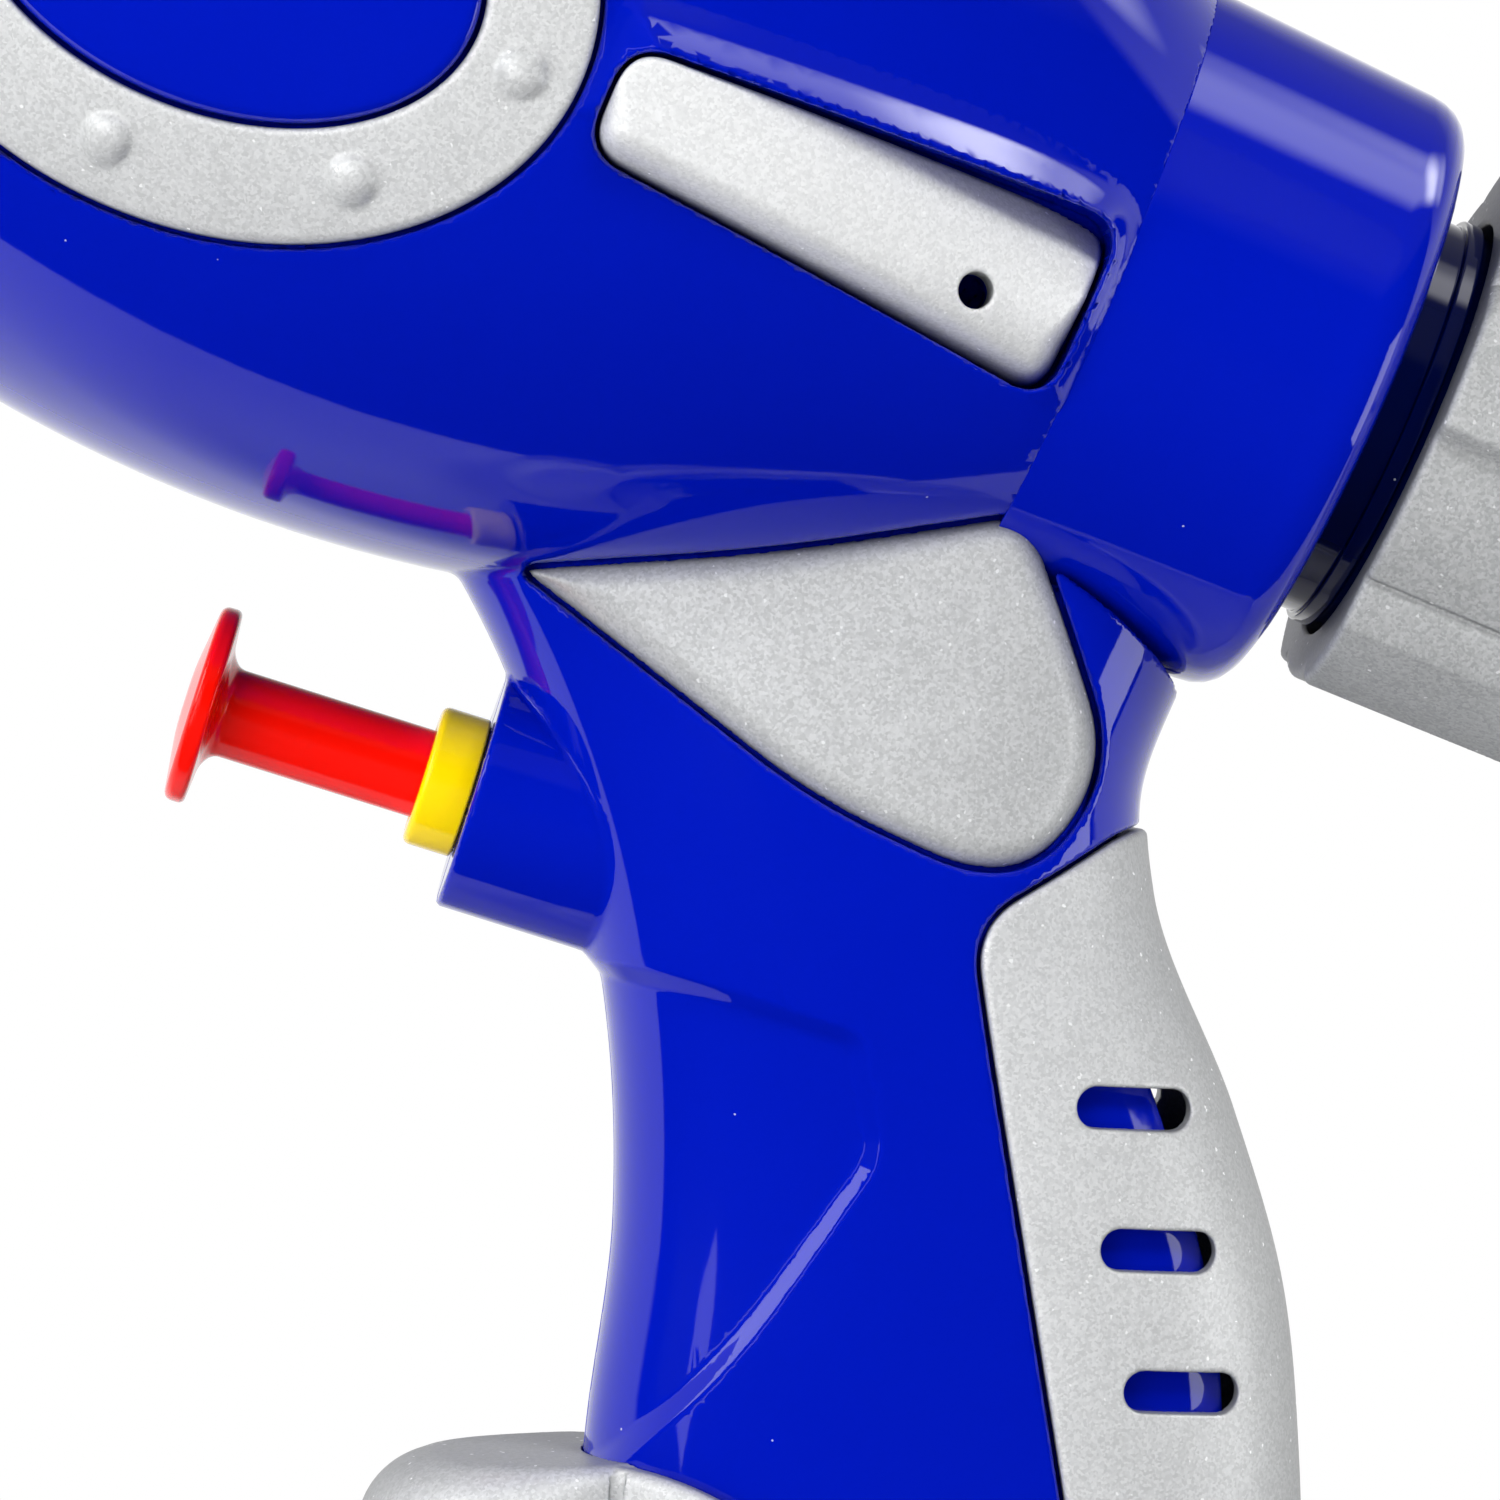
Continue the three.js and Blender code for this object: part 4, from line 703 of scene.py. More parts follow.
def screw_distance(points):
    """A pan-head screw with a cross recess, its seat at height zero and its top towards +Y."""
    x, y, z = points.T
    radius = np.hypot(x, z)
    head = both(radius - HEAD_RADIUS, y - HEAD_HEIGHT, HEAD_ROUND)
    head = both(head, -y, HEAD_FOOT_ROUND)
    arms = []
    for across, reach in ((x, z), (z, x)):
        arms.append(shared(np.abs(across) - CROSS_HALF_WIDTH, np.abs(reach) - CROSS_REACH))
    head = both(head, -shared(joined(*arms), CROSS_FLOOR - y), CROSS_ROUND)
    shank = both(radius - SHANK_RADIUS, np.abs(y - SHANK_MIDDLE) - SHANK_HALF_LENGTH, SHANK_ROUND)
    return joined(head, shank)


# Meshes from distances
def surface_net(distance, low, high, cell):
    """Points and four-cornered faces of the surface where the distance is zero."""
    low = np.array(low, float)
    size = BLOCK * cell
    counts = np.ceil((np.array(high, float) - low) / size).astype(int)
    grid = np.stack(np.meshgrid(*[np.arange(n) for n in counts], indexing="ij"), -1).reshape(-1, 3)
    blocks = grid[np.abs(distance(low + (grid + 0.5) * size)) < 1.5 * size]
    corner = np.stack(np.meshgrid(*[np.arange(BLOCK + 1)] * 3, indexing="ij"), -1).reshape(-1, 3)
    cells = []
    levels = []
    for part in np.array_split(blocks, len(blocks) // BLOCKS_AT_ONCE + 1):
        places = (part[:, None] * BLOCK + corner[None]).reshape(-1, 3)
        level = distance(low + places * cell).reshape(-1, BLOCK + 1, BLOCK + 1, BLOCK + 1)
        eight = np.stack([
            level[:, i:i + BLOCK, j:j + BLOCK, k:k + BLOCK] for i in (0, 1) for j in (0, 1) for k in (0, 1)
        ], -1)
        inside = (eight < 0).sum(-1)
        mixed = (inside > 0) & (inside < 8)
        n, i, j, k = np.nonzero(mixed)
        cells.append(part[n] * BLOCK + np.stack([i, j, k], -1))
        levels.append(eight[mixed])
    cells = np.concatenate(cells)
    levels = np.concatenate(levels)
    return net_points(cells, levels, low, cell), net_faces(cells, levels)


def net_points(cells, levels, low, cell):
    corners = np.array([[i, j, k] for i in (0, 1) for j in (0, 1) for k in (0, 1)], float)
    total = np.zeros((len(cells), 3))
    count = np.zeros(len(cells))
    for a in range(8):
        for bit in (4, 2, 1):
            if a & bit:
                continue
            b = a | bit
            crossing = (levels[:, a] < 0) != (levels[:, b] < 0)
            gap = np.where(crossing, levels[:, a] - levels[:, b], 1)
            share = np.where(crossing, levels[:, a] / gap, 0)
            total += np.where(crossing[:, None], corners[a] + share[:, None] * (corners[b] - corners[a]), 0)
            count += crossing
    return low + (cells + total / count[:, None]) * cell


def net_faces(cells, levels):
    span = cells.max(0) + 2
    keys = (cells[:, 0] * span[1] + cells[:, 1]) * span[2] + cells[:, 2]
    order = np.argsort(keys)
    ranked = keys[order]
    faces = []
    for axis, bit in enumerate((4, 2, 1)):
        crossing = (levels[:, 0] < 0) != (levels[:, bit] < 0)
        corners = []
        for step_b, step_c in ((0, 0), (1, 0), (1, 1), (0, 1)):
            near = cells[crossing].copy()
            near[:, (axis + 1) % 3] -= step_b
            near[:, (axis + 2) % 3] -= step_c
            key = (near[:, 0] * span[1] + near[:, 1]) * span[2] + near[:, 2]
            spot = np.minimum(np.searchsorted(ranked, key), len(ranked) - 1)
            corners.append(np.where(ranked[spot] == key, order[spot], -1))
        quads = np.stack(corners, -1)
        outside = levels[crossing, 0] >= 0
        quads[outside] = quads[outside][:, ::-1]
        faces.append(quads[(quads >= 0).all(1)])
    return np.concatenate(faces)


def slope_at(distance, points, step=0.03):
    """How fast the distance grows along each axis."""
    slope = np.empty_like(points)
    for axis in range(3):
        shift = np.zeros(3)
        shift[axis] = step
        slope[:, axis] = (distance(points + shift) - distance(points - shift)) / (2 * step)
    return slope


def settled(distance, points, cell):
    """Points moved onto the surface, and the surface's directions there."""
    for _ in range(2):
        slope = slope_at(distance, points)
        steep = np.maximum((slope ** 2).sum(-1), 0.2)
        move = -(distance(points) / steep)[:, None] * slope
        length = np.linalg.norm(move, axis=-1, keepdims=True)
        points = points + move * np.minimum(1, 0.5 * cell / np.maximum(length, 1e-9))
    slope = slope_at(distance, points, cell / 2)
    return points, slope / np.maximum(np.linalg.norm(slope, axis=-1, keepdims=True), 1e-9)


def new_mesh(name, points, faces):
    mesh = bpy.data.meshes.new(name)
    mesh.from_pydata((points * MM).tolist(), [], [list(face) for face in faces])
    mesh.validate()
    return mesh


def add_object(name, data):
    thing = bpy.data.objects.new(name, data)
    bpy.context.scene.collection.objects.link(thing)
    return thing


def new_piece(name, points, faces, normals):
    mesh = new_mesh(name, points, faces)
    mesh.shade_smooth()
    mesh.normals_split_custom_set_from_vertices(normals.tolist())
    return add_object(name, mesh)


def thinned(mesh, target):
    """The mesh with its flat stretches in fewer, larger faces."""
    faces = sum(len(polygon.vertices) - 2 for polygon in mesh.polygons)
    if faces <= target:
        return mesh
    rough = add_object("rough", mesh)
    decimate = rough.modifiers.new("thin", "DECIMATE")
    decimate.ratio = target / faces
    bpy.context.view_layer.update()
    thin = rough.evaluated_get(bpy.context.evaluated_depsgraph_get())
    result = bpy.data.meshes.new_from_object(thin)
    bpy.data.objects.remove(rough)
    return result


def mesh_points(mesh):
    flat = np.empty(len(mesh.vertices) * 3)
    mesh.vertices.foreach_get("co", flat)
    return flat.reshape(-1, 3) / MM


def mesh_faces(mesh):
    return [tuple(polygon.vertices) for polygon in mesh.polygons]


def moulded(distance, low, high, cell, target):
    """Points, faces and directions of a moulded form."""
    points, faces = surface_net(distance, low, high, cell)
    points, _ = settled(distance, points, cell)
    mesh = thinned(new_mesh("form", points, faces), target)
    points, normals = settled(distance, mesh_points(mesh), cell)
    return points, mesh_faces(mesh), normals


def mirrored(form):
    points, faces, normals = form
    flip = np.array([1, -1, 1])
    return points * flip, [face[::-1] for face in faces], normals * flip


# Turned pieces
def rounded_profile(corners, closed, steps=6):
    """Points [along, radius] and directions of a profile whose corners are [along, radius, rounding]."""
    points = []
    ways = []
    count = len(corners)
    for i, (along, radius, rounding) in enumerate(corners):
        middle = np.array([along, radius], float)
        if not closed and i in (0, count - 1):
            other = np.array(corners[1 if i == 0 else count - 2][:2], float)
            points.append(middle)
            ways.append(other - middle if i == 0 else middle - other)
            continue
        ends = []
        for other in (corners[i - 1], corners[(i + 1) % count]):
            way = np.array(other[:2], float) - middle
            ends.append(middle + way * min(rounding / np.linalg.norm(way), 0.5))
        for t in np.linspace(0, 1, steps + 1):
            points.append(bend(ends[0], middle, ends[1], t))
            ways.append((1 - t) * (middle - ends[0]) + t * (ends[1] - middle))
    points = np.array(points)
    ways = np.array(ways)
    ways /= np.linalg.norm(ways, axis=-1, keepdims=True)
    return points, np.stack([-ways[:, 1], ways[:, 0]], -1)


def spun(profile, segments):
    """Each [along, across] of a profile, at equal turns about the axis."""
    turns = 2 * np.pi * np.arange(segments) / segments
    rings = np.empty((len(profile), segments, 3))
    rings[..., 0] = profile[:, :1]
    rings[..., 1] = profile[:, 1:] * np.cos(turns)
    rings[..., 2] = profile[:, 1:] * np.sin(turns)
    return rings.reshape(-1, 3)


def turned(name, corners, place, tilt, closed=True, segments=128):
    """A piece turned about a tilted axis. Its profile runs from the front, over the outside, to the rear."""
    profile, ways = rounded_profile(corners, closed)
    rows = len(profile)
    index = np.arange(rows * segments).reshape(rows, segments)
    on_axis = profile[:, 1] < 1e-6
    index[on_axis] = index[on_axis][:, :1]
    faces = []
    for i in range(rows if closed else rows - 1):
        k = (i + 1) % rows
        for j in range(segments):
            m = (j + 1) % segments
            ring = [index[i, j], index[i, m], index[k, m], index[k, j]]
            face = list(dict.fromkeys(int(v) for v in ring))
            if len(face) > 2:
                faces.append(face)
    used = np.unique(np.concatenate([np.array(face) for face in faces]))
    renumber = np.full(rows * segments, -1)
    renumber[used] = np.arange(len(used))
    faces = [[int(renumber[v]) for v in face] for face in faces]
    points = out_of_frame(spun(profile, segments)[used], place, tilt)
    normals = out_of_frame(spun(ways, segments)[used], (0, 0), tilt)
    return new_piece(name, points, faces, normals)


def coil(name, ends, radius, wire, turns, place, tilt, steps=40, sides=12):
    """A wire wound round the axis of a tilted frame, closer at its two ends."""
    share = np.linspace(0, 1, turns * steps + 1)
    turn = 2 * np.pi * turns * share
    outward = np.stack([np.zeros(turn.shape), np.cos(turn), np.sin(turn)], -1)
    centre = radius * outward
    centre[:, 0] = between(ends, eased(share, SPRING_EASE))
    way = np.gradient(centre, axis=0)
    way /= np.linalg.norm(way, axis=1)[:, None]
    across = np.cross(way, outward)
    round_wire = 2 * np.pi * np.arange(sides) / sides
    normals = np.cos(round_wire)[None, :, None] * outward[:, None]
    normals = normals + np.sin(round_wire)[None, :, None] * across[:, None]
    points = centre[:, None] + wire * normals
    index = np.arange(len(share) * sides).reshape(-1, sides)
    beside = np.roll(index, -1, 1)
    faces = np.stack([index[:-1], beside[:-1], beside[1:], index[1:]], -1).reshape(-1, 4).tolist()
    faces += [index[0][::-1].tolist(), index[-1].tolist()]
    points = out_of_frame(points.reshape(-1, 3), place, tilt)
    normals = out_of_frame(normals.reshape(-1, 3), (0, 0), tilt)
    return new_piece(name, points, faces, normals)


# Shader nodes
def feed(tree, socket, value):
    """Links another node's output to the socket, or sets the socket's own value."""
    if isinstance(value, bpy.types.NodeSocket):
        tree.links.new(value, socket)
    else:
        socket.default_value = value


def set_inputs(tree, node, **inputs):
    for name, value in inputs.items():
        feed(tree, node.inputs[name.replace("_", " ")], value)
    return node


def add_node(tree, kind, settings=None, **inputs):
    node = tree.nodes.new("ShaderNode" + kind)
    for name, value in (settings or {}).items():
        setattr(node, name, value)
    return set_inputs(tree, node, **inputs)


def new_group(name, inputs, outputs):
    group = bpy.data.node_groups.new(name, "ShaderNodeTree")
    for label, default in inputs:
        socket = group.interface.new_socket(label, in_out="INPUT", socket_type="NodeSocketFloat")
        socket.default_value = default
    for label in outputs:
        group.interface.new_socket(label, in_out="OUTPUT", socket_type="NodeSocketFloat")
    given = group.nodes.new("NodeGroupInput").outputs
    result = group.nodes.new("NodeGroupOutput").inputs
    return group, given, result


def math_node(tree, operation, first, second, third=0.0):
    node = add_node(tree, "Math", {"operation": operation})
    for socket, value in zip(node.inputs, (first, second, third)):
        feed(tree, socket, value)
    return node.outputs[0]


def moulding_group():
    """Waves, fine peel and dust of moulded plastic."""
    tree, given, result = new_group(
        "moulding marks",
        [("Peel Size", 900), ("Dust", 0.5)],
        ["Wave", "Height", "Dust"],
    )
    coords = add_node(tree, "TexCoord").outputs["Object"]
    wave = add_node(tree, "TexNoise", Vector=coords, Scale=55.0, Detail=2.0).outputs["Fac"]
    peel = add_node(tree, "TexNoise", Vector=coords, Scale=given["Peel Size"], Detail=3.0).outputs["Fac"]
    cells = add_node(tree, "TexVoronoi", Vector=coords, Scale=420.0).outputs
    near = math_node(tree, "LESS_THAN", cells["Distance"], DUST_RADIUS)
    chosen = add_node(tree, "SeparateColor", Color=cells["Color"]).outputs["Red"]
    dusty = math_node(tree, "LESS_THAN", chosen, math_node(tree, "MULTIPLY", given["Dust"], DUST_SHARE))
    tree.links.new(wave, result["Wave"])
    tree.links.new(math_node(tree, "MULTIPLY_ADD", wave, WAVE_HEIGHT, peel), result["Height"])
    tree.links.new(math_node(tree, "MULTIPLY", near, dusty), result["Dust"])
    return tree


def flake_group():
    """Metal flakes in silver plastic: how light each one is, and which way it leans."""
    tree, given, result = new_group("metal flake", [("Flake Size", 3400)], ["Light", "Glint", "Height"])
    coords = add_node(tree, "TexCoord").outputs["Object"]
    cells = add_node(tree, "TexVoronoi", Vector=coords, Scale=given["Flake Size"])
    colour = add_node(tree, "SeparateColor", Color=cells.outputs["Color"]).outputs
    cloud = add_node(tree, "TexNoise", Vector=coords, Scale=160.0, Detail=3.0).outputs["Fac"]
    flake = math_node(tree, "MULTIPLY", colour["Red"], 1 - CLOUD_SHARE)
    tree.links.new(math_node(tree, "MULTIPLY_ADD", cloud, CLOUD_SHARE, flake), result["Light"])
    tree.links.new(math_node(tree, "GREATER_THAN", colour["Green"], GLINT_START), result["Glint"])
    tree.links.new(colour["Blue"], result["Height"])
    return tree


MOULDING = moulding_group()
FLAKE = flake_group()


def new_finish(name):
    material = bpy.data.materials.new(name)
    material.use_nodes = True
    tree = material.node_tree
    return material, tree, tree.nodes["Principled BSDF"]


def place_group(tree, group, **values):
    return add_node(tree, "Group", {"node_tree": group}, **values).outputs


def bump_of(tree, height, strength, depth):
    bump = add_node(tree, "Bump", Height=height, Strength=strength, Distance=depth)
    return bump.outputs["Normal"]


def blended(tree, share, first, second):
    mix = add_node(tree, "Mix", {"data_type": "RGBA"})
    for place, value in ((0, share), (6, first), (7, second)):
        feed(tree, mix.inputs[place], value)
    return mix.outputs[2]


def gloss_plastic(name, light, dark, roughness, dust):
    material, tree, shader = new_finish(name)
    marks = place_group(tree, MOULDING, Peel_Size=800, Dust=dust)
    specks = tuple(min(1, SPECK_LIFT + SPECK_TINT * c) for c in light[:3]) + (1,)
    colour = blended(tree, marks["Wave"], dark, light)
    colour = blended(tree, marks["Dust"], colour, specks)
    rough = math_node(tree, "MULTIPLY_ADD", marks["Wave"], 0.04, roughness)
    normal = bump_of(tree, marks["Height"], 0.2, PEEL_DEPTH)
    set_inputs(tree, shader, Base_Color=colour, Roughness=rough, Normal=normal, IOR=1.5)
    return material


def grey(level):
    return (level, level + 0.008, level + 0.012, 1)


def silver_plastic(name, shade):
    """Silver plastic with metal flake, lighter face on than side on."""
    material, tree, shader = new_finish(name)
    flake = place_group(tree, FLAKE, Flake_Size=5200)
    marks = place_group(tree, MOULDING, Peel_Size=1500, Dust=0.3)
    edge = add_node(tree, "LayerWeight", Blend=0.45).outputs["Facing"]
    face_on = blended(tree, flake["Light"], grey(shade - FLAKE_SPREAD), grey(shade + FLAKE_SPREAD))
    side_on = blended(tree, flake["Light"], *[grey(shade * share) for share in SIDE_ON_SHARES])
    colour = blended(tree, edge, face_on, side_on)
    colour = blended(tree, flake["Glint"], colour, grey(min(GLINT_LIMIT, shade + GLINT_LIFT)))
    smoother = GLINT_ROUGHNESS - SILVER_ROUGHNESS
    rough = math_node(tree, "MULTIPLY_ADD", flake["Glint"], smoother, SILVER_ROUGHNESS)
    height = math_node(tree, "MULTIPLY_ADD", marks["Height"], SILVER_PEEL, flake["Height"])
    normal = bump_of(tree, height, 0.2, PEEL_DEPTH)
    set_inputs(tree, shader, Base_Color=colour, Roughness=rough, Normal=normal, Metallic=0.2)
    return material


def matt_plastic(name, light, dark, roughness):
    material, tree, shader = new_finish(name)
    marks = place_group(tree, MOULDING, Peel_Size=2200, Dust=0.4)
    colour = blended(tree, marks["Wave"], dark, light)
    rough = math_node(tree, "MULTIPLY_ADD", marks["Wave"], 0.15, roughness)
    normal = bump_of(tree, marks["Height"], 0.4, 3 * PEEL_DEPTH)
    set_inputs(tree, shader, Base_Color=colour, Roughness=rough, Normal=normal)
    return material


def clear_plastic():
    material = matt_plastic(
        "clear plastic", light=(0.85, 0.89, 0.92, 1), dark=(0.78, 0.83, 0.87, 1), roughness=0.12,
    )
    tree = material.node_tree
    set_inputs(tree, tree.nodes["Principled BSDF"], Transmission_Weight=0.6)
    return material


def steel():
    material, tree, shader = new_finish("steel")
    marks = place_group(tree, MOULDING, Peel_Size=2600, Dust=0.2)
    colour = blended(tree, marks["Wave"], (0.5, 0.5, 0.51, 1), (0.66, 0.67, 0.68, 1))
    rough = math_node(tree, "MULTIPLY_ADD", marks["Wave"], 0.2, 0.22)
    set_inputs(tree, shader, Base_Color=colour, Roughness=rough, Metallic=1.0)
    return material


FINISHES = {
    "blue_plastic": gloss_plastic(
        "blue plastic", light=(0.0, 0.0075, 0.41, 1), dark=(0.0, 0.0062, 0.37, 1), roughness=0.03, dust=0.6,
    ),
    "silver_plastic": silver_plastic("silver plastic", shade=0.65),
    "red_plastic": gloss_plastic(
        "red plastic", light=(0.95, 0.004, 0.0, 1), dark=(0.88, 0.003, 0.0, 1), roughness=0.12, dust=0.3,
    ),
    "yellow_plastic": gloss_plastic(
        "yellow plastic", light=(1.0, 0.73, 0.0, 1), dark=(1.0, 0.68, 0.0, 1), roughness=0.12, dust=0.3,
    ),
    "white_plastic": matt_plastic(
        "white plastic", light=(0.8, 0.8, 0.77, 1), dark=(0.74, 0.74, 0.71, 1), roughness=0.35,
    ),
    "clear_plastic": clear_plastic(),
    "black_rubber": matt_plastic(
        "black rubber", light=(0.014, 0.014, 0.014, 1), dark=(0.01, 0.01, 0.01, 1), roughness=0.6,
    ),
    "steel": steel(),
}
# Copy of the silver painted lighter for the slot inserts: painted light where the key lamp's glossy
# highlight falls on them.
SILVER_WITH_PAINTED_LIGHT = silver_plastic("silver plastic with painted light", shade=0.88)
# Copy of the silver painted darker for the side pads: painted shade under the bulb's overhang.
SILVER_WITH_PAINTED_SHADE = silver_plastic("silver plastic with painted shade", shade=0.55)
# Copy of the silver painted darker still for the filler cap: painted shade from the rear collar.
SILVER_WITH_DEEP_PAINTED_SHADE = silver_plastic("silver plastic with deep painted shade", shade=0.46)
# Darker copy of the blue plastic for the reservoir: painted shade on the neck between the collar and the
# cap.
BLUE_WITH_PAINTED_SHADE = gloss_plastic(
    "blue plastic with painted shade", light=(0.0, 0.003, 0.05, 1), dark=(0.0, 0.002, 0.04, 1), roughness=0.05, dust=0.3,
)


def dress(piece, node, body, slot, finish=None):
    """Puts a piece in a node's place, with the slot's finish or a copy of it with painted light or shade."""
    piece.data.materials.clear()
    piece.data.materials.append(finish or FINISHES[slot])
    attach(piece, body)
    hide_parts(node)


# Moulded pieces
left_shell = moulded(shell_distance, *SHELL_BOX, SHELL_CELL, SHELL_FACES)
dress(new_piece("left_shell_moulding", *left_shell), "left_shell", "frame", "blue_plastic")
right_shell = moulded(lambda points: shell_distance(points, True), *SHELL_BOX, SHELL_CELL, SHELL_FACES)
dress(new_piece("right_shell_moulding", *mirrored(right_shell)), "right_shell", "frame", "blue_plastic")

# The side trims as distance, box corners and finish: the slot inserts take silver with painted light, the
# side pads silver with painted shade, and the ring trims the plain silver.
SIDE_TRIMS = {
    "ring_trim": (ring_trim_distance, (-64, -38, 92), (-12, -20, 145), None),
    "slot_insert": (slot_insert_distance, (-20, -38, 84), (22, -10, 118), SILVER_WITH_PAINTED_LIGHT),
    "side_pad": (side_pad_distance, (-24, -16, 55), (20, -2, 87), SILVER_WITH_PAINTED_SHADE),
}
for trim, (distance, low, high, shade) in SIDE_TRIMS.items():
    form = moulded(distance, low, high, TRIM_CELL, TRIM_FACES)
    for side, shape in (("left", form), ("right", mirrored(form))):
        piece = new_piece(f"{side}_{trim}_moulding", *shape)
        dress(piece, f"{side}_{trim}", "frame", "silver_plastic", shade)

# The whole mouldings as distance, box corners, body and finish: the filler cap takes silver with deep
# painted shade.
WHOLE_MOULDINGS = {
    "grip_backstrap": (backstrap_distance, (4, -16, 4), (34, 16, 66), "frame", None),
    "base_shoe": (base_shoe_distance, (-33, -18, -1), (36, 18, 24), "frame", None),
    "filler_cap": (cap_distance, (30, -21, 56), (70, 21, 112), "cap", SILVER_WITH_DEEP_PAINTED_SHADE),
}
for node, (distance, low, high, body, shade) in WHOLE_MOULDINGS.items():
    form = moulded(distance, low, high, TRIM_CELL, TRIM_FACES)
    dress(new_piece(f"{node}_moulding", *form), node, body, "silver_plastic", shade)

points, faces, normals = moulded(screw_distance, *SCREW_BOX, TRIM_CELL / 2, TRIM_FACES // 6)
for number, (x, z) in enumerate(POSTS, 1):
    placed = points + np.array([x, SCREW_SEAT, z])
    screw = new_piece(f"shell_screw_{number}_turning", placed, faces, normals)
    dress(screw, f"shell_screw_{number}", "frame", "steel")

# Turned pieces of the body
body_axis = (BODY_PLACE, BODY_TILT)
dress(turned("rear_collar_turning", [
    [-COLLAR_LENGTH, COLLAR_BORE, 0.2],
    [-COLLAR_LENGTH, COLLAR_RADIUS, 0.12],
    [0, COLLAR_RADIUS - COLLAR_TAPER, 3.2],
    [0, COLLAR_MOUTH, 0.5],
    [-COLLAR_FLANGE, COLLAR_MOUTH, 0.3],
    [-COLLAR_FLANGE, COLLAR_BORE, 0.2],
], *body_axis), "rear_collar", "frame", "blue_plastic")
nose_face = -BULB_NOSE - FIT
dress(turned("nose_ring_turning", [
    [nose_face - NOSE_RING_LENGTH, BARREL_ROOT_RADIUS + FIT, 0.3],
    [nose_face - NOSE_RING_LENGTH, NOSE_RING_RADIUS, 3.4],
    [nose_face, NOSE_RING_RADIUS, 2.6],
    [nose_face, BARREL_ROOT_RADIUS + FIT, 0.3],
], *body_axis), "nose_ring", "frame", "silver_plastic")
muzzle_face = -BARREL_TIP - FIT
dress(turned("muzzle_ring_turning", [
    [muzzle_face - MUZZLE_RING_FACE, MUZZLE_RING_BORE, 0.3],
    [muzzle_face - MUZZLE_RING_FACE, MUZZLE_RING_RADIUS, 1.5],
    [-BARREL_TIP, MUZZLE_RING_RADIUS, 1.6],
    [-SPIGOT_ROOT - FIT, BARREL_TIP_RADIUS, 0.4],
    [-SPIGOT_ROOT - FIT, SPIGOT_RADIUS + FIT, 0.2],
    [muzzle_face, SPIGOT_RADIUS + FIT, 0.2],
    [muzzle_face, MUZZLE_RING_BORE, 0.2],
], *body_axis), "muzzle_ring", "frame", "silver_plastic")
dress(turned("nozzle_turning", [
    [muzzle_face - NOZZLE_TIP, NOZZLE_BORE, 0.1],
    [muzzle_face - NOZZLE_TIP, NOZZLE_TIP_RADIUS, 0.7],
    [muzzle_face - MUZZLE_RING_FACE, NOZZLE_RADIUS, 0.6],
    [-BARREL_TIP, NOZZLE_RADIUS, 0.2],
    [-BARREL_TIP, NOZZLE_FLANGE_RADIUS, 0.3],
    [-BARREL_TIP + NOZZLE_FLANGE, NOZZLE_FLANGE_RADIUS, 0.3],
    [-BARREL_TIP + NOZZLE_FLANGE, NOZZLE_TAIL_RADIUS, 0.2],
    [-BARREL_TIP + NOZZLE_TAIL, NOZZLE_TAIL_RADIUS, 0.2],
    [-BARREL_TIP + NOZZLE_TAIL, NOZZLE_BORE, 0.1],
], *body_axis, segments=64), "nozzle", "frame", "red_plastic")
tank_along = np.linspace(-TANK_FRONT, TANK_END, TANK_RINGS)
tank_rise = np.sqrt((BULB_ARC - TANK_INSET) ** 2 - (tank_along + BULB_MIDDLE) ** 2)
tank_radius = np.maximum(tank_rise + BULB_RADIUS - BULB_ARC, NECK_RADIUS)
tank_wall = [[x, r, TANK_ROUND] for x, r in zip(tank_along, tank_radius)]
bottle = turned("reservoir_turning", [
    [-TANK_FRONT, 0, 0],
    *tank_wall,
    [BEAD_PLACE, NECK_RADIUS, 0.2],
    [BEAD_PLACE, NECK_RADIUS + BEAD_RISE, 0.2],
    [BEAD_PLACE + BEAD_WIDTH, NECK_RADIUS + BEAD_RISE, 0.2],
    [BEAD_PLACE + BEAD_WIDTH, NECK_RADIUS, 0.2],
    [NECK_LENGTH, NECK_RADIUS, 0.4],
    [NECK_LENGTH, NECK_BORE, 0.3],
    *[[x, r - TANK_WALL, TANK_ROUND] for x, r, _ in reversed(tank_wall[1:-1])],
    [-TANK_FRONT + TANK_WALL, 0, 0],
], *body_axis, closed=False)
# The bottle and its outlet take the dark blue with painted shade.
dress(bottle, "reservoir", "frame", "blue_plastic", BLUE_WITH_PAINTED_SHADE)
outlet_place = out_of_frame(np.array([[-TANK_OUTLET, 0.0, 0.0]]), *body_axis)[0]
outlet = turned("reservoir_outlet_turning", [
    [OUTLET_ROOT, OUTLET_BORE, 0.1],
    [OUTLET_ROOT, OUTLET_FOOT_RADIUS, 0.1],
    [OUTLET_FOOT, OUTLET_FOOT_RADIUS, 0.2],
    [OUTLET_FOOT, OUTLET_TIP_RADIUS, 0.1],
    [OUTLET_TIP, OUTLET_TIP_RADIUS, 0.15],
    [OUTLET_TIP, OUTLET_BORE, 0.1],
], (outlet_place[0], outlet_place[2]), BODY_TILT + 90, segments=32)
dress(outlet, "reservoir", "frame", "blue_plastic", BLUE_WITH_PAINTED_SHADE)
gasket = turned("cap_gasket_turning", [
    [GASKET_ENDS[0], GASKET_BORE, 0.3],
    [GASKET_ENDS[0], GASKET_RADIUS, 0.4],
    [GASKET_ENDS[1], GASKET_RADIUS, 0.4],
    [GASKET_ENDS[1], GASKET_BORE, 0.3],
], *body_axis)
dress(gasket, "cap_gasket", "cap_seal", "black_rubber")

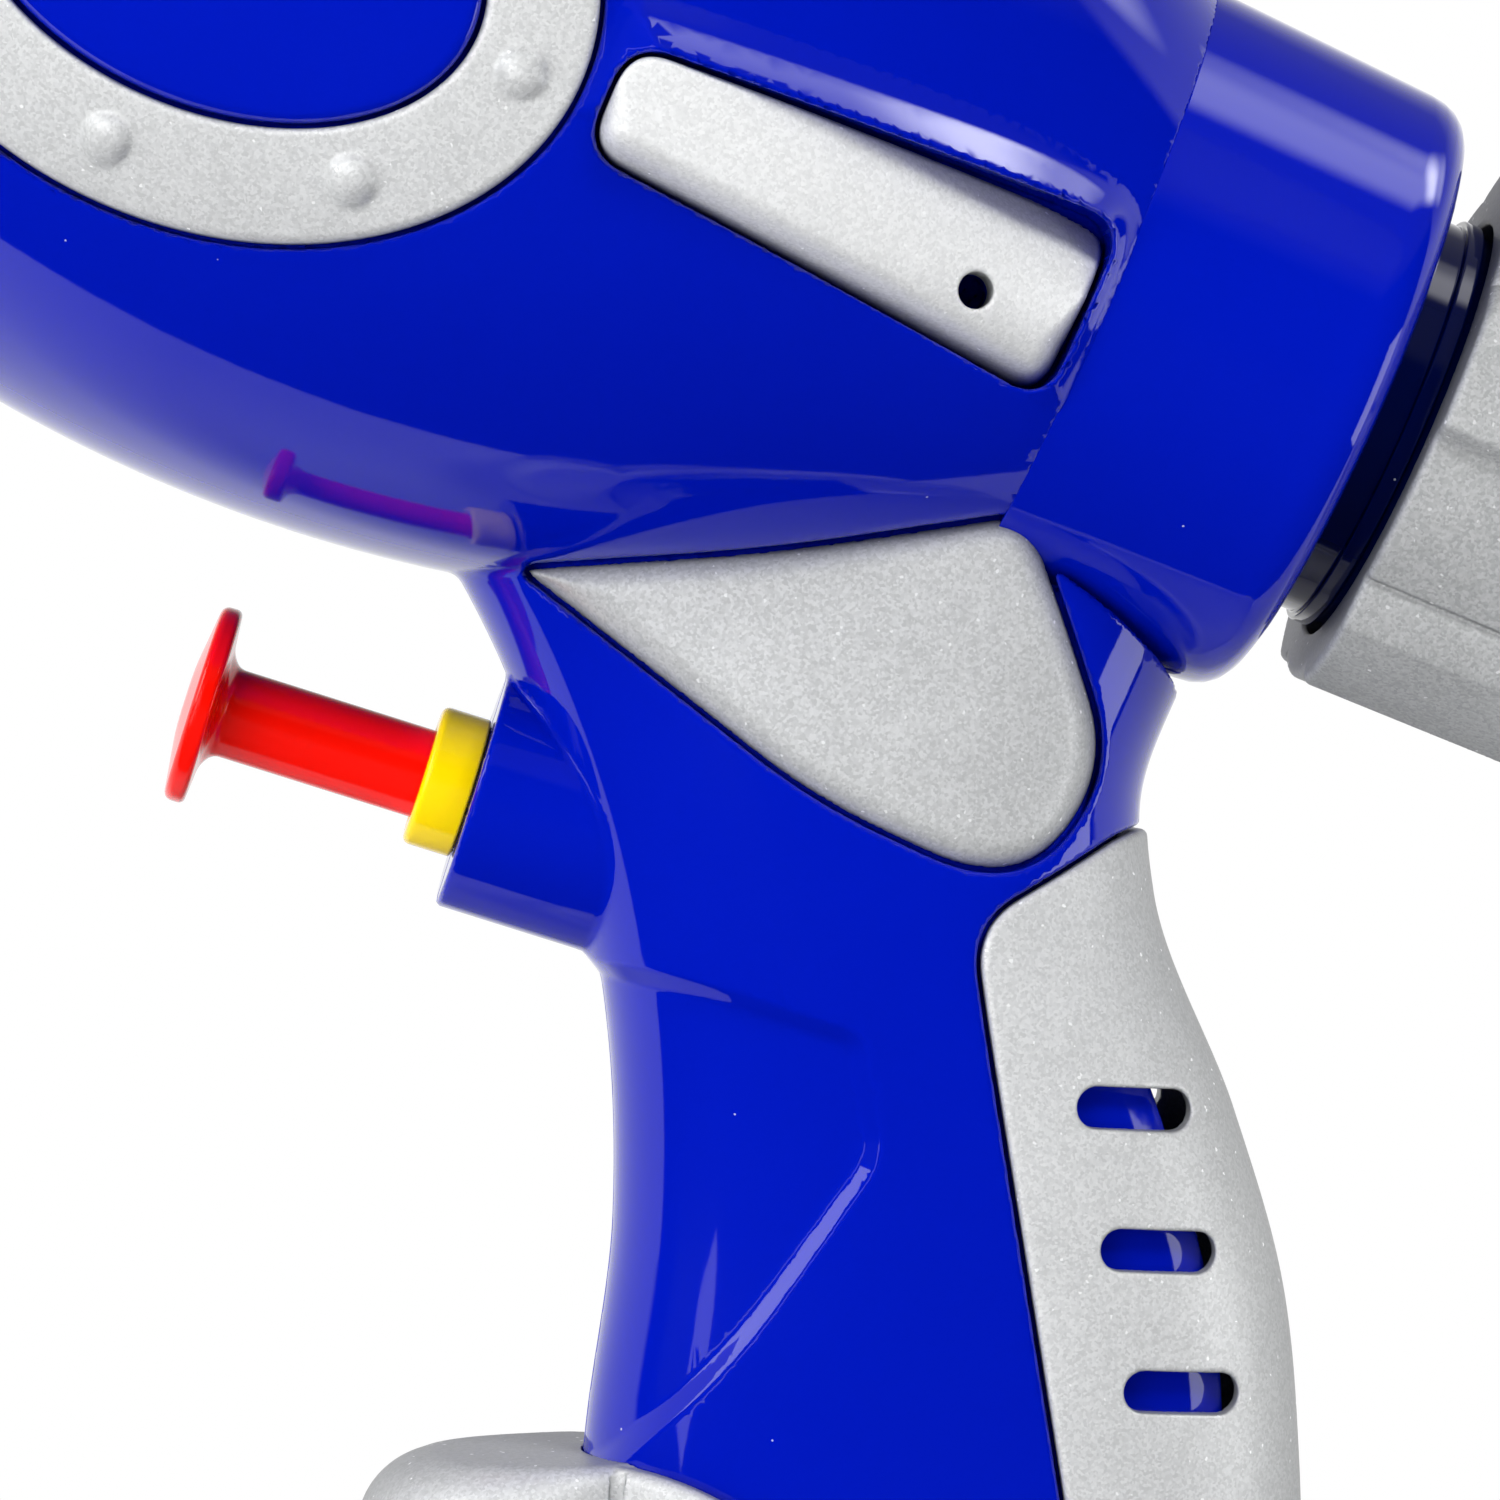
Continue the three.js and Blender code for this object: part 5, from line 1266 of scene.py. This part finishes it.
# Turned pieces of the pump
pump_axis = (PUMP_PLACE, PUMP_TILT)
plunger = turned("trigger_plunger_turning", [
    [DISC_BACK - DISC_RIM - DISC_DOME, 0, 0],
    [DISC_BACK - DISC_RIM - DISC_DOME, DISC_FLAT, 1],
    [DISC_BACK - DISC_RIM, DISC_RADIUS, 0.6],
    [DISC_BACK, DISC_RADIUS, 0.45],
    [DISC_BACK + DISC_HUB_DEPTH, DISC_HUB, 0.5],
    [DISC_BACK + DISC_CONE, ROD_RADIUS, 0.5],
    [PISTON_FRONT, ROD_RADIUS, 0.2],
    [PISTON_FRONT, PISTON_RADIUS, 0.2],
    [SEAL_FRONT - SEAL_ROOM, PISTON_RADIUS, 0.1],
    [SEAL_FRONT - SEAL_ROOM, PISTON_RADIUS - SEAL_DEPTH, 0.1],
    [SEAL_BACK + SEAL_ROOM, PISTON_RADIUS - SEAL_DEPTH, 0.1],
    [SEAL_BACK + SEAL_ROOM, PISTON_RADIUS, 0.1],
    [PISTON_BACK, PISTON_RADIUS, 0.2],
    [PISTON_BACK, 0, 0],
], *pump_axis, closed=False)
dress(plunger, "trigger_plunger", "plunger", "red_plastic")
spring = coil("return_spring_coil", SPRING_ENDS, SPRING_RADIUS, SPRING_WIRE, SPRING_TURNS, *pump_axis)
dress(spring, "return_spring", "frame", "steel")
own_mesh(spring)
dress(turned("pump_gland_turning", [
    [GLAND_FRONT, GLAND_BORE, 0.3],
    [GLAND_FRONT, GLAND_LIP, 0.6],
    [GLAND_SEAT, GLAND_LIP, 0.25],
    [GLAND_SEAT, PISTON_RADIUS, 0.1],
    [GLAND_SPIGOT, PISTON_RADIUS, 0.2],
    [GLAND_SPIGOT, GLAND_BORE, 0.2],
], *pump_axis), "pump_gland", "frame", "yellow_plastic")

# Finishes of the CAD's own shapes
for entry in frame["record"]["subparts"]:
    cad_object = frame["nodes"][entry["node"]]
    cad_object.data.materials.clear()
    cad_object.data.materials.append(FINISHES[entry["material_slot"]])


# Stage
def floor_finish():
    """Paint under the object that turns into the white background further out."""
    material, tree, shader = new_finish("floor paint")
    place = add_node(tree, "NewGeometry").outputs["Position"]
    far = add_node(tree, "VectorMath", {"operation": "LENGTH"})
    tree.links.new(place, far.inputs[0])
    near_edge, far_edge = FLOOR_FADE
    fade = add_node(tree, "MapRange", Value=far.outputs["Value"], From_Min=near_edge, From_Max=far_edge)
    path = add_node(tree, "LightPath").outputs
    in_gloss = math_node(tree, "MAXIMUM", path["Is Glossy Ray"], path["Is Transmission Ray"])
    seen = math_node(tree, "MAXIMUM", path["Is Camera Ray"], in_gloss)
    paint = add_node(tree, "TexNoise", Scale=30.0).outputs["Fac"]
    colour = blended(tree, paint, (0.72, 0.72, 0.72, 1), (0.76, 0.76, 0.76, 1))
    set_inputs(tree, shader, Base_Color=colour, Roughness=0.9, Specular_IOR_Level=0.0)
    white = add_node(tree, "Emission", Color=(1, 1, 1, 1), Strength=1.0)
    mix = add_node(tree, "MixShader", Fac=math_node(tree, "MULTIPLY", fade.outputs["Result"], seen))
    tree.links.new(shader.outputs[0], mix.inputs[1])
    tree.links.new(white.outputs[0], mix.inputs[2])
    tree.links.new(mix.outputs[0], tree.nodes["Material Output"].inputs["Surface"])
    return material


def floor_piece(name, near_y, far_y, material):
    corners = [(x, y, 0) for y in (near_y, far_y) for x in (-FLOOR_REACH, FLOOR_REACH)]
    mesh = bpy.data.meshes.new(name)
    mesh.from_pydata(corners, [], [(0, 1, 3, 2)])
    mesh.materials.append(material)
    floor = add_object(name, mesh)
    return floor


floor_paint = floor_finish()
floor_piece("floor_behind", FLOOR_EDGE, FLOOR_REACH, floor_paint)
front_floor = floor_piece("floor_in_front", -FLOOR_REACH, FLOOR_EDGE, floor_paint)
front_floor.visible_glossy = False


# Light
def smooth_step(tree, value, low, high):
    settings = {"interpolation_type": "SMOOTHSTEP"}
    return add_node(tree, "MapRange", settings, Value=value, From_Min=low, From_Max=high).outputs["Result"]


def straight_ramp(tree, value, given, wanted):
    """A straight ramp of the value from the given pair to the wanted pair."""
    low, high = given
    first, last = wanted
    node = add_node(tree, "MapRange", Value=value, From_Min=low, From_Max=high, To_Min=first, To_Max=last)
    return node.outputs["Result"]


def soft_band(tree, value, slopes):
    """One between the two slopes, and nought outside them."""
    rise, fall = [smooth_step(tree, value, *slope) for slope in slopes]
    return math_node(tree, "MULTIPLY", rise, fall)


def reach_along(tree, direction, axis):
    dot = add_node(tree, "VectorMath", {"operation": "DOT_PRODUCT"})
    tree.links.new(direction, dot.inputs[0])
    dot.inputs[1].default_value = axis
    return dot.outputs["Value"]


def soft_window(tree, direction):
    """A long soft lamp at the upper right, brighter in its middle."""
    along = reach_along(tree, direction, WINDOW_ALONG)
    across = reach_along(tree, direction, WINDOW_ACROSS)
    ends = soft_band(tree, along, WINDOW_ENDS)
    sides = soft_band(tree, across, WINDOW_SIDES)
    middle = soft_band(tree, along, WINDOW_MIDDLE)
    level = math_node(tree, "MULTIPLY_ADD", middle, WINDOW_MIDDLE_LIFT, WINDOW_LEVEL)
    shape = math_node(tree, "MULTIPLY", math_node(tree, "MULTIPLY", ends, sides), level)
    right = reach_along(tree, direction, (1, 0, 0))
    return math_node(tree, "MULTIPLY", shape, math_node(tree, "GREATER_THAN", right, 0.0))


def studio_world():
    """White paper behind the object, a dim ceiling and the window, as gloss sees them."""
    world = bpy.data.worlds.new("studio")
    world.use_nodes = True
    tree = world.node_tree
    direction = add_node(tree, "TexCoord").outputs["Generated"]
    axes = add_node(tree, "SeparateXYZ", Vector=direction).outputs
    behind = smooth_step(tree, axes["Y"], *PAPER_START)
    over_floor = smooth_step(tree, axes["Z"], *PAPER_FOOT)
    height = straight_ramp(tree, axes["Z"], PAPER_FADE, (1.0, PAPER_TOP))
    ceiling = straight_ramp(tree, axes["Z"], CEILING_FADE, CEILING_LEVEL)
    paper = math_node(tree, "MULTIPLY", math_node(tree, "MULTIPLY", behind, over_floor), height)
    room = math_node(tree, "MAXIMUM", paper, ceiling)
    room = math_node(tree, "MAXIMUM", room, soft_window(tree, direction))
    path = add_node(tree, "LightPath").outputs
    in_gloss = math_node(tree, "MAXIMUM", path["Is Glossy Ray"], path["Is Transmission Ray"])
    elsewhere = math_node(tree, "SUBTRACT", 1.0, in_gloss)
    mirrored_room = math_node(tree, "MULTIPLY", in_gloss, room)
    shade = math_node(tree, "MULTIPLY_ADD", elsewhere, ROOM_LEVEL, mirrored_room)
    level = math_node(tree, "MAXIMUM", shade, path["Is Camera Ray"])
    set_inputs(tree, tree.nodes["Background"], Color=(1, 1, 1, 1), Strength=level)
    bpy.context.scene.world = world


def aimed(place, target):
    return (Vector(target) - Vector(place)).to_track_quat("-Z", "Y")


def lamp(name, place, size, power, in_gloss=False, roll=0):
    light = bpy.data.lights.new(name, "AREA")
    light.shape = "RECTANGLE"
    light.size, light.size_y = size
    light.energy = power
    holder = add_object(name, light)
    holder.location = place
    turn = Quaternion((0, 0, 1), math.radians(roll))
    holder.rotation_euler = (aimed(place, LAMP_AIM) @ turn).to_euler()
    holder.visible_glossy = in_gloss
    holder.visible_camera = False


studio_world()
lamp("key", place=(0.35, -0.48, 0.61), size=(0.25, 0.25), power=3.9)
lamp("front_fill", place=(-0.5, -0.7, 0.25), size=(0.5, 0.5), power=4.6)
lamp("back_fill", place=(0.1, 0.9, 0.6), size=(0.9, 0.9), power=1.6)
lamp("left_strip", place=(-0.54, -0.48, 0.16), size=(0.09, 0.4), power=0.15, in_gloss=True, roll=-35)
lamp("left_fill", place=(-0.6, -0.3, 0.08), size=(0.3, 0.3), power=1.8)
lamp("left_card", place=(-0.6, -0.14, 0.42), size=(0.32, 0.32), power=1.1, in_gloss=True)
lamp("right_card", place=(0.22, -0.06, 0.03), size=(0.08, 0.1), power=0.08, in_gloss=True)

# Camera
camera = bpy.data.cameras.new("camera")
camera.lens = CAMERA_LENS
camera.sensor_width = CAMERA_SENSOR
view = add_object("camera", camera)
view.location = CAMERA_PLACE
view.rotation_euler = aimed(CAMERA_PLACE, CAMERA_AIM).to_euler()
bpy.context.scene.camera = view
bpy.context.scene.view_settings.view_transform = "Standard"
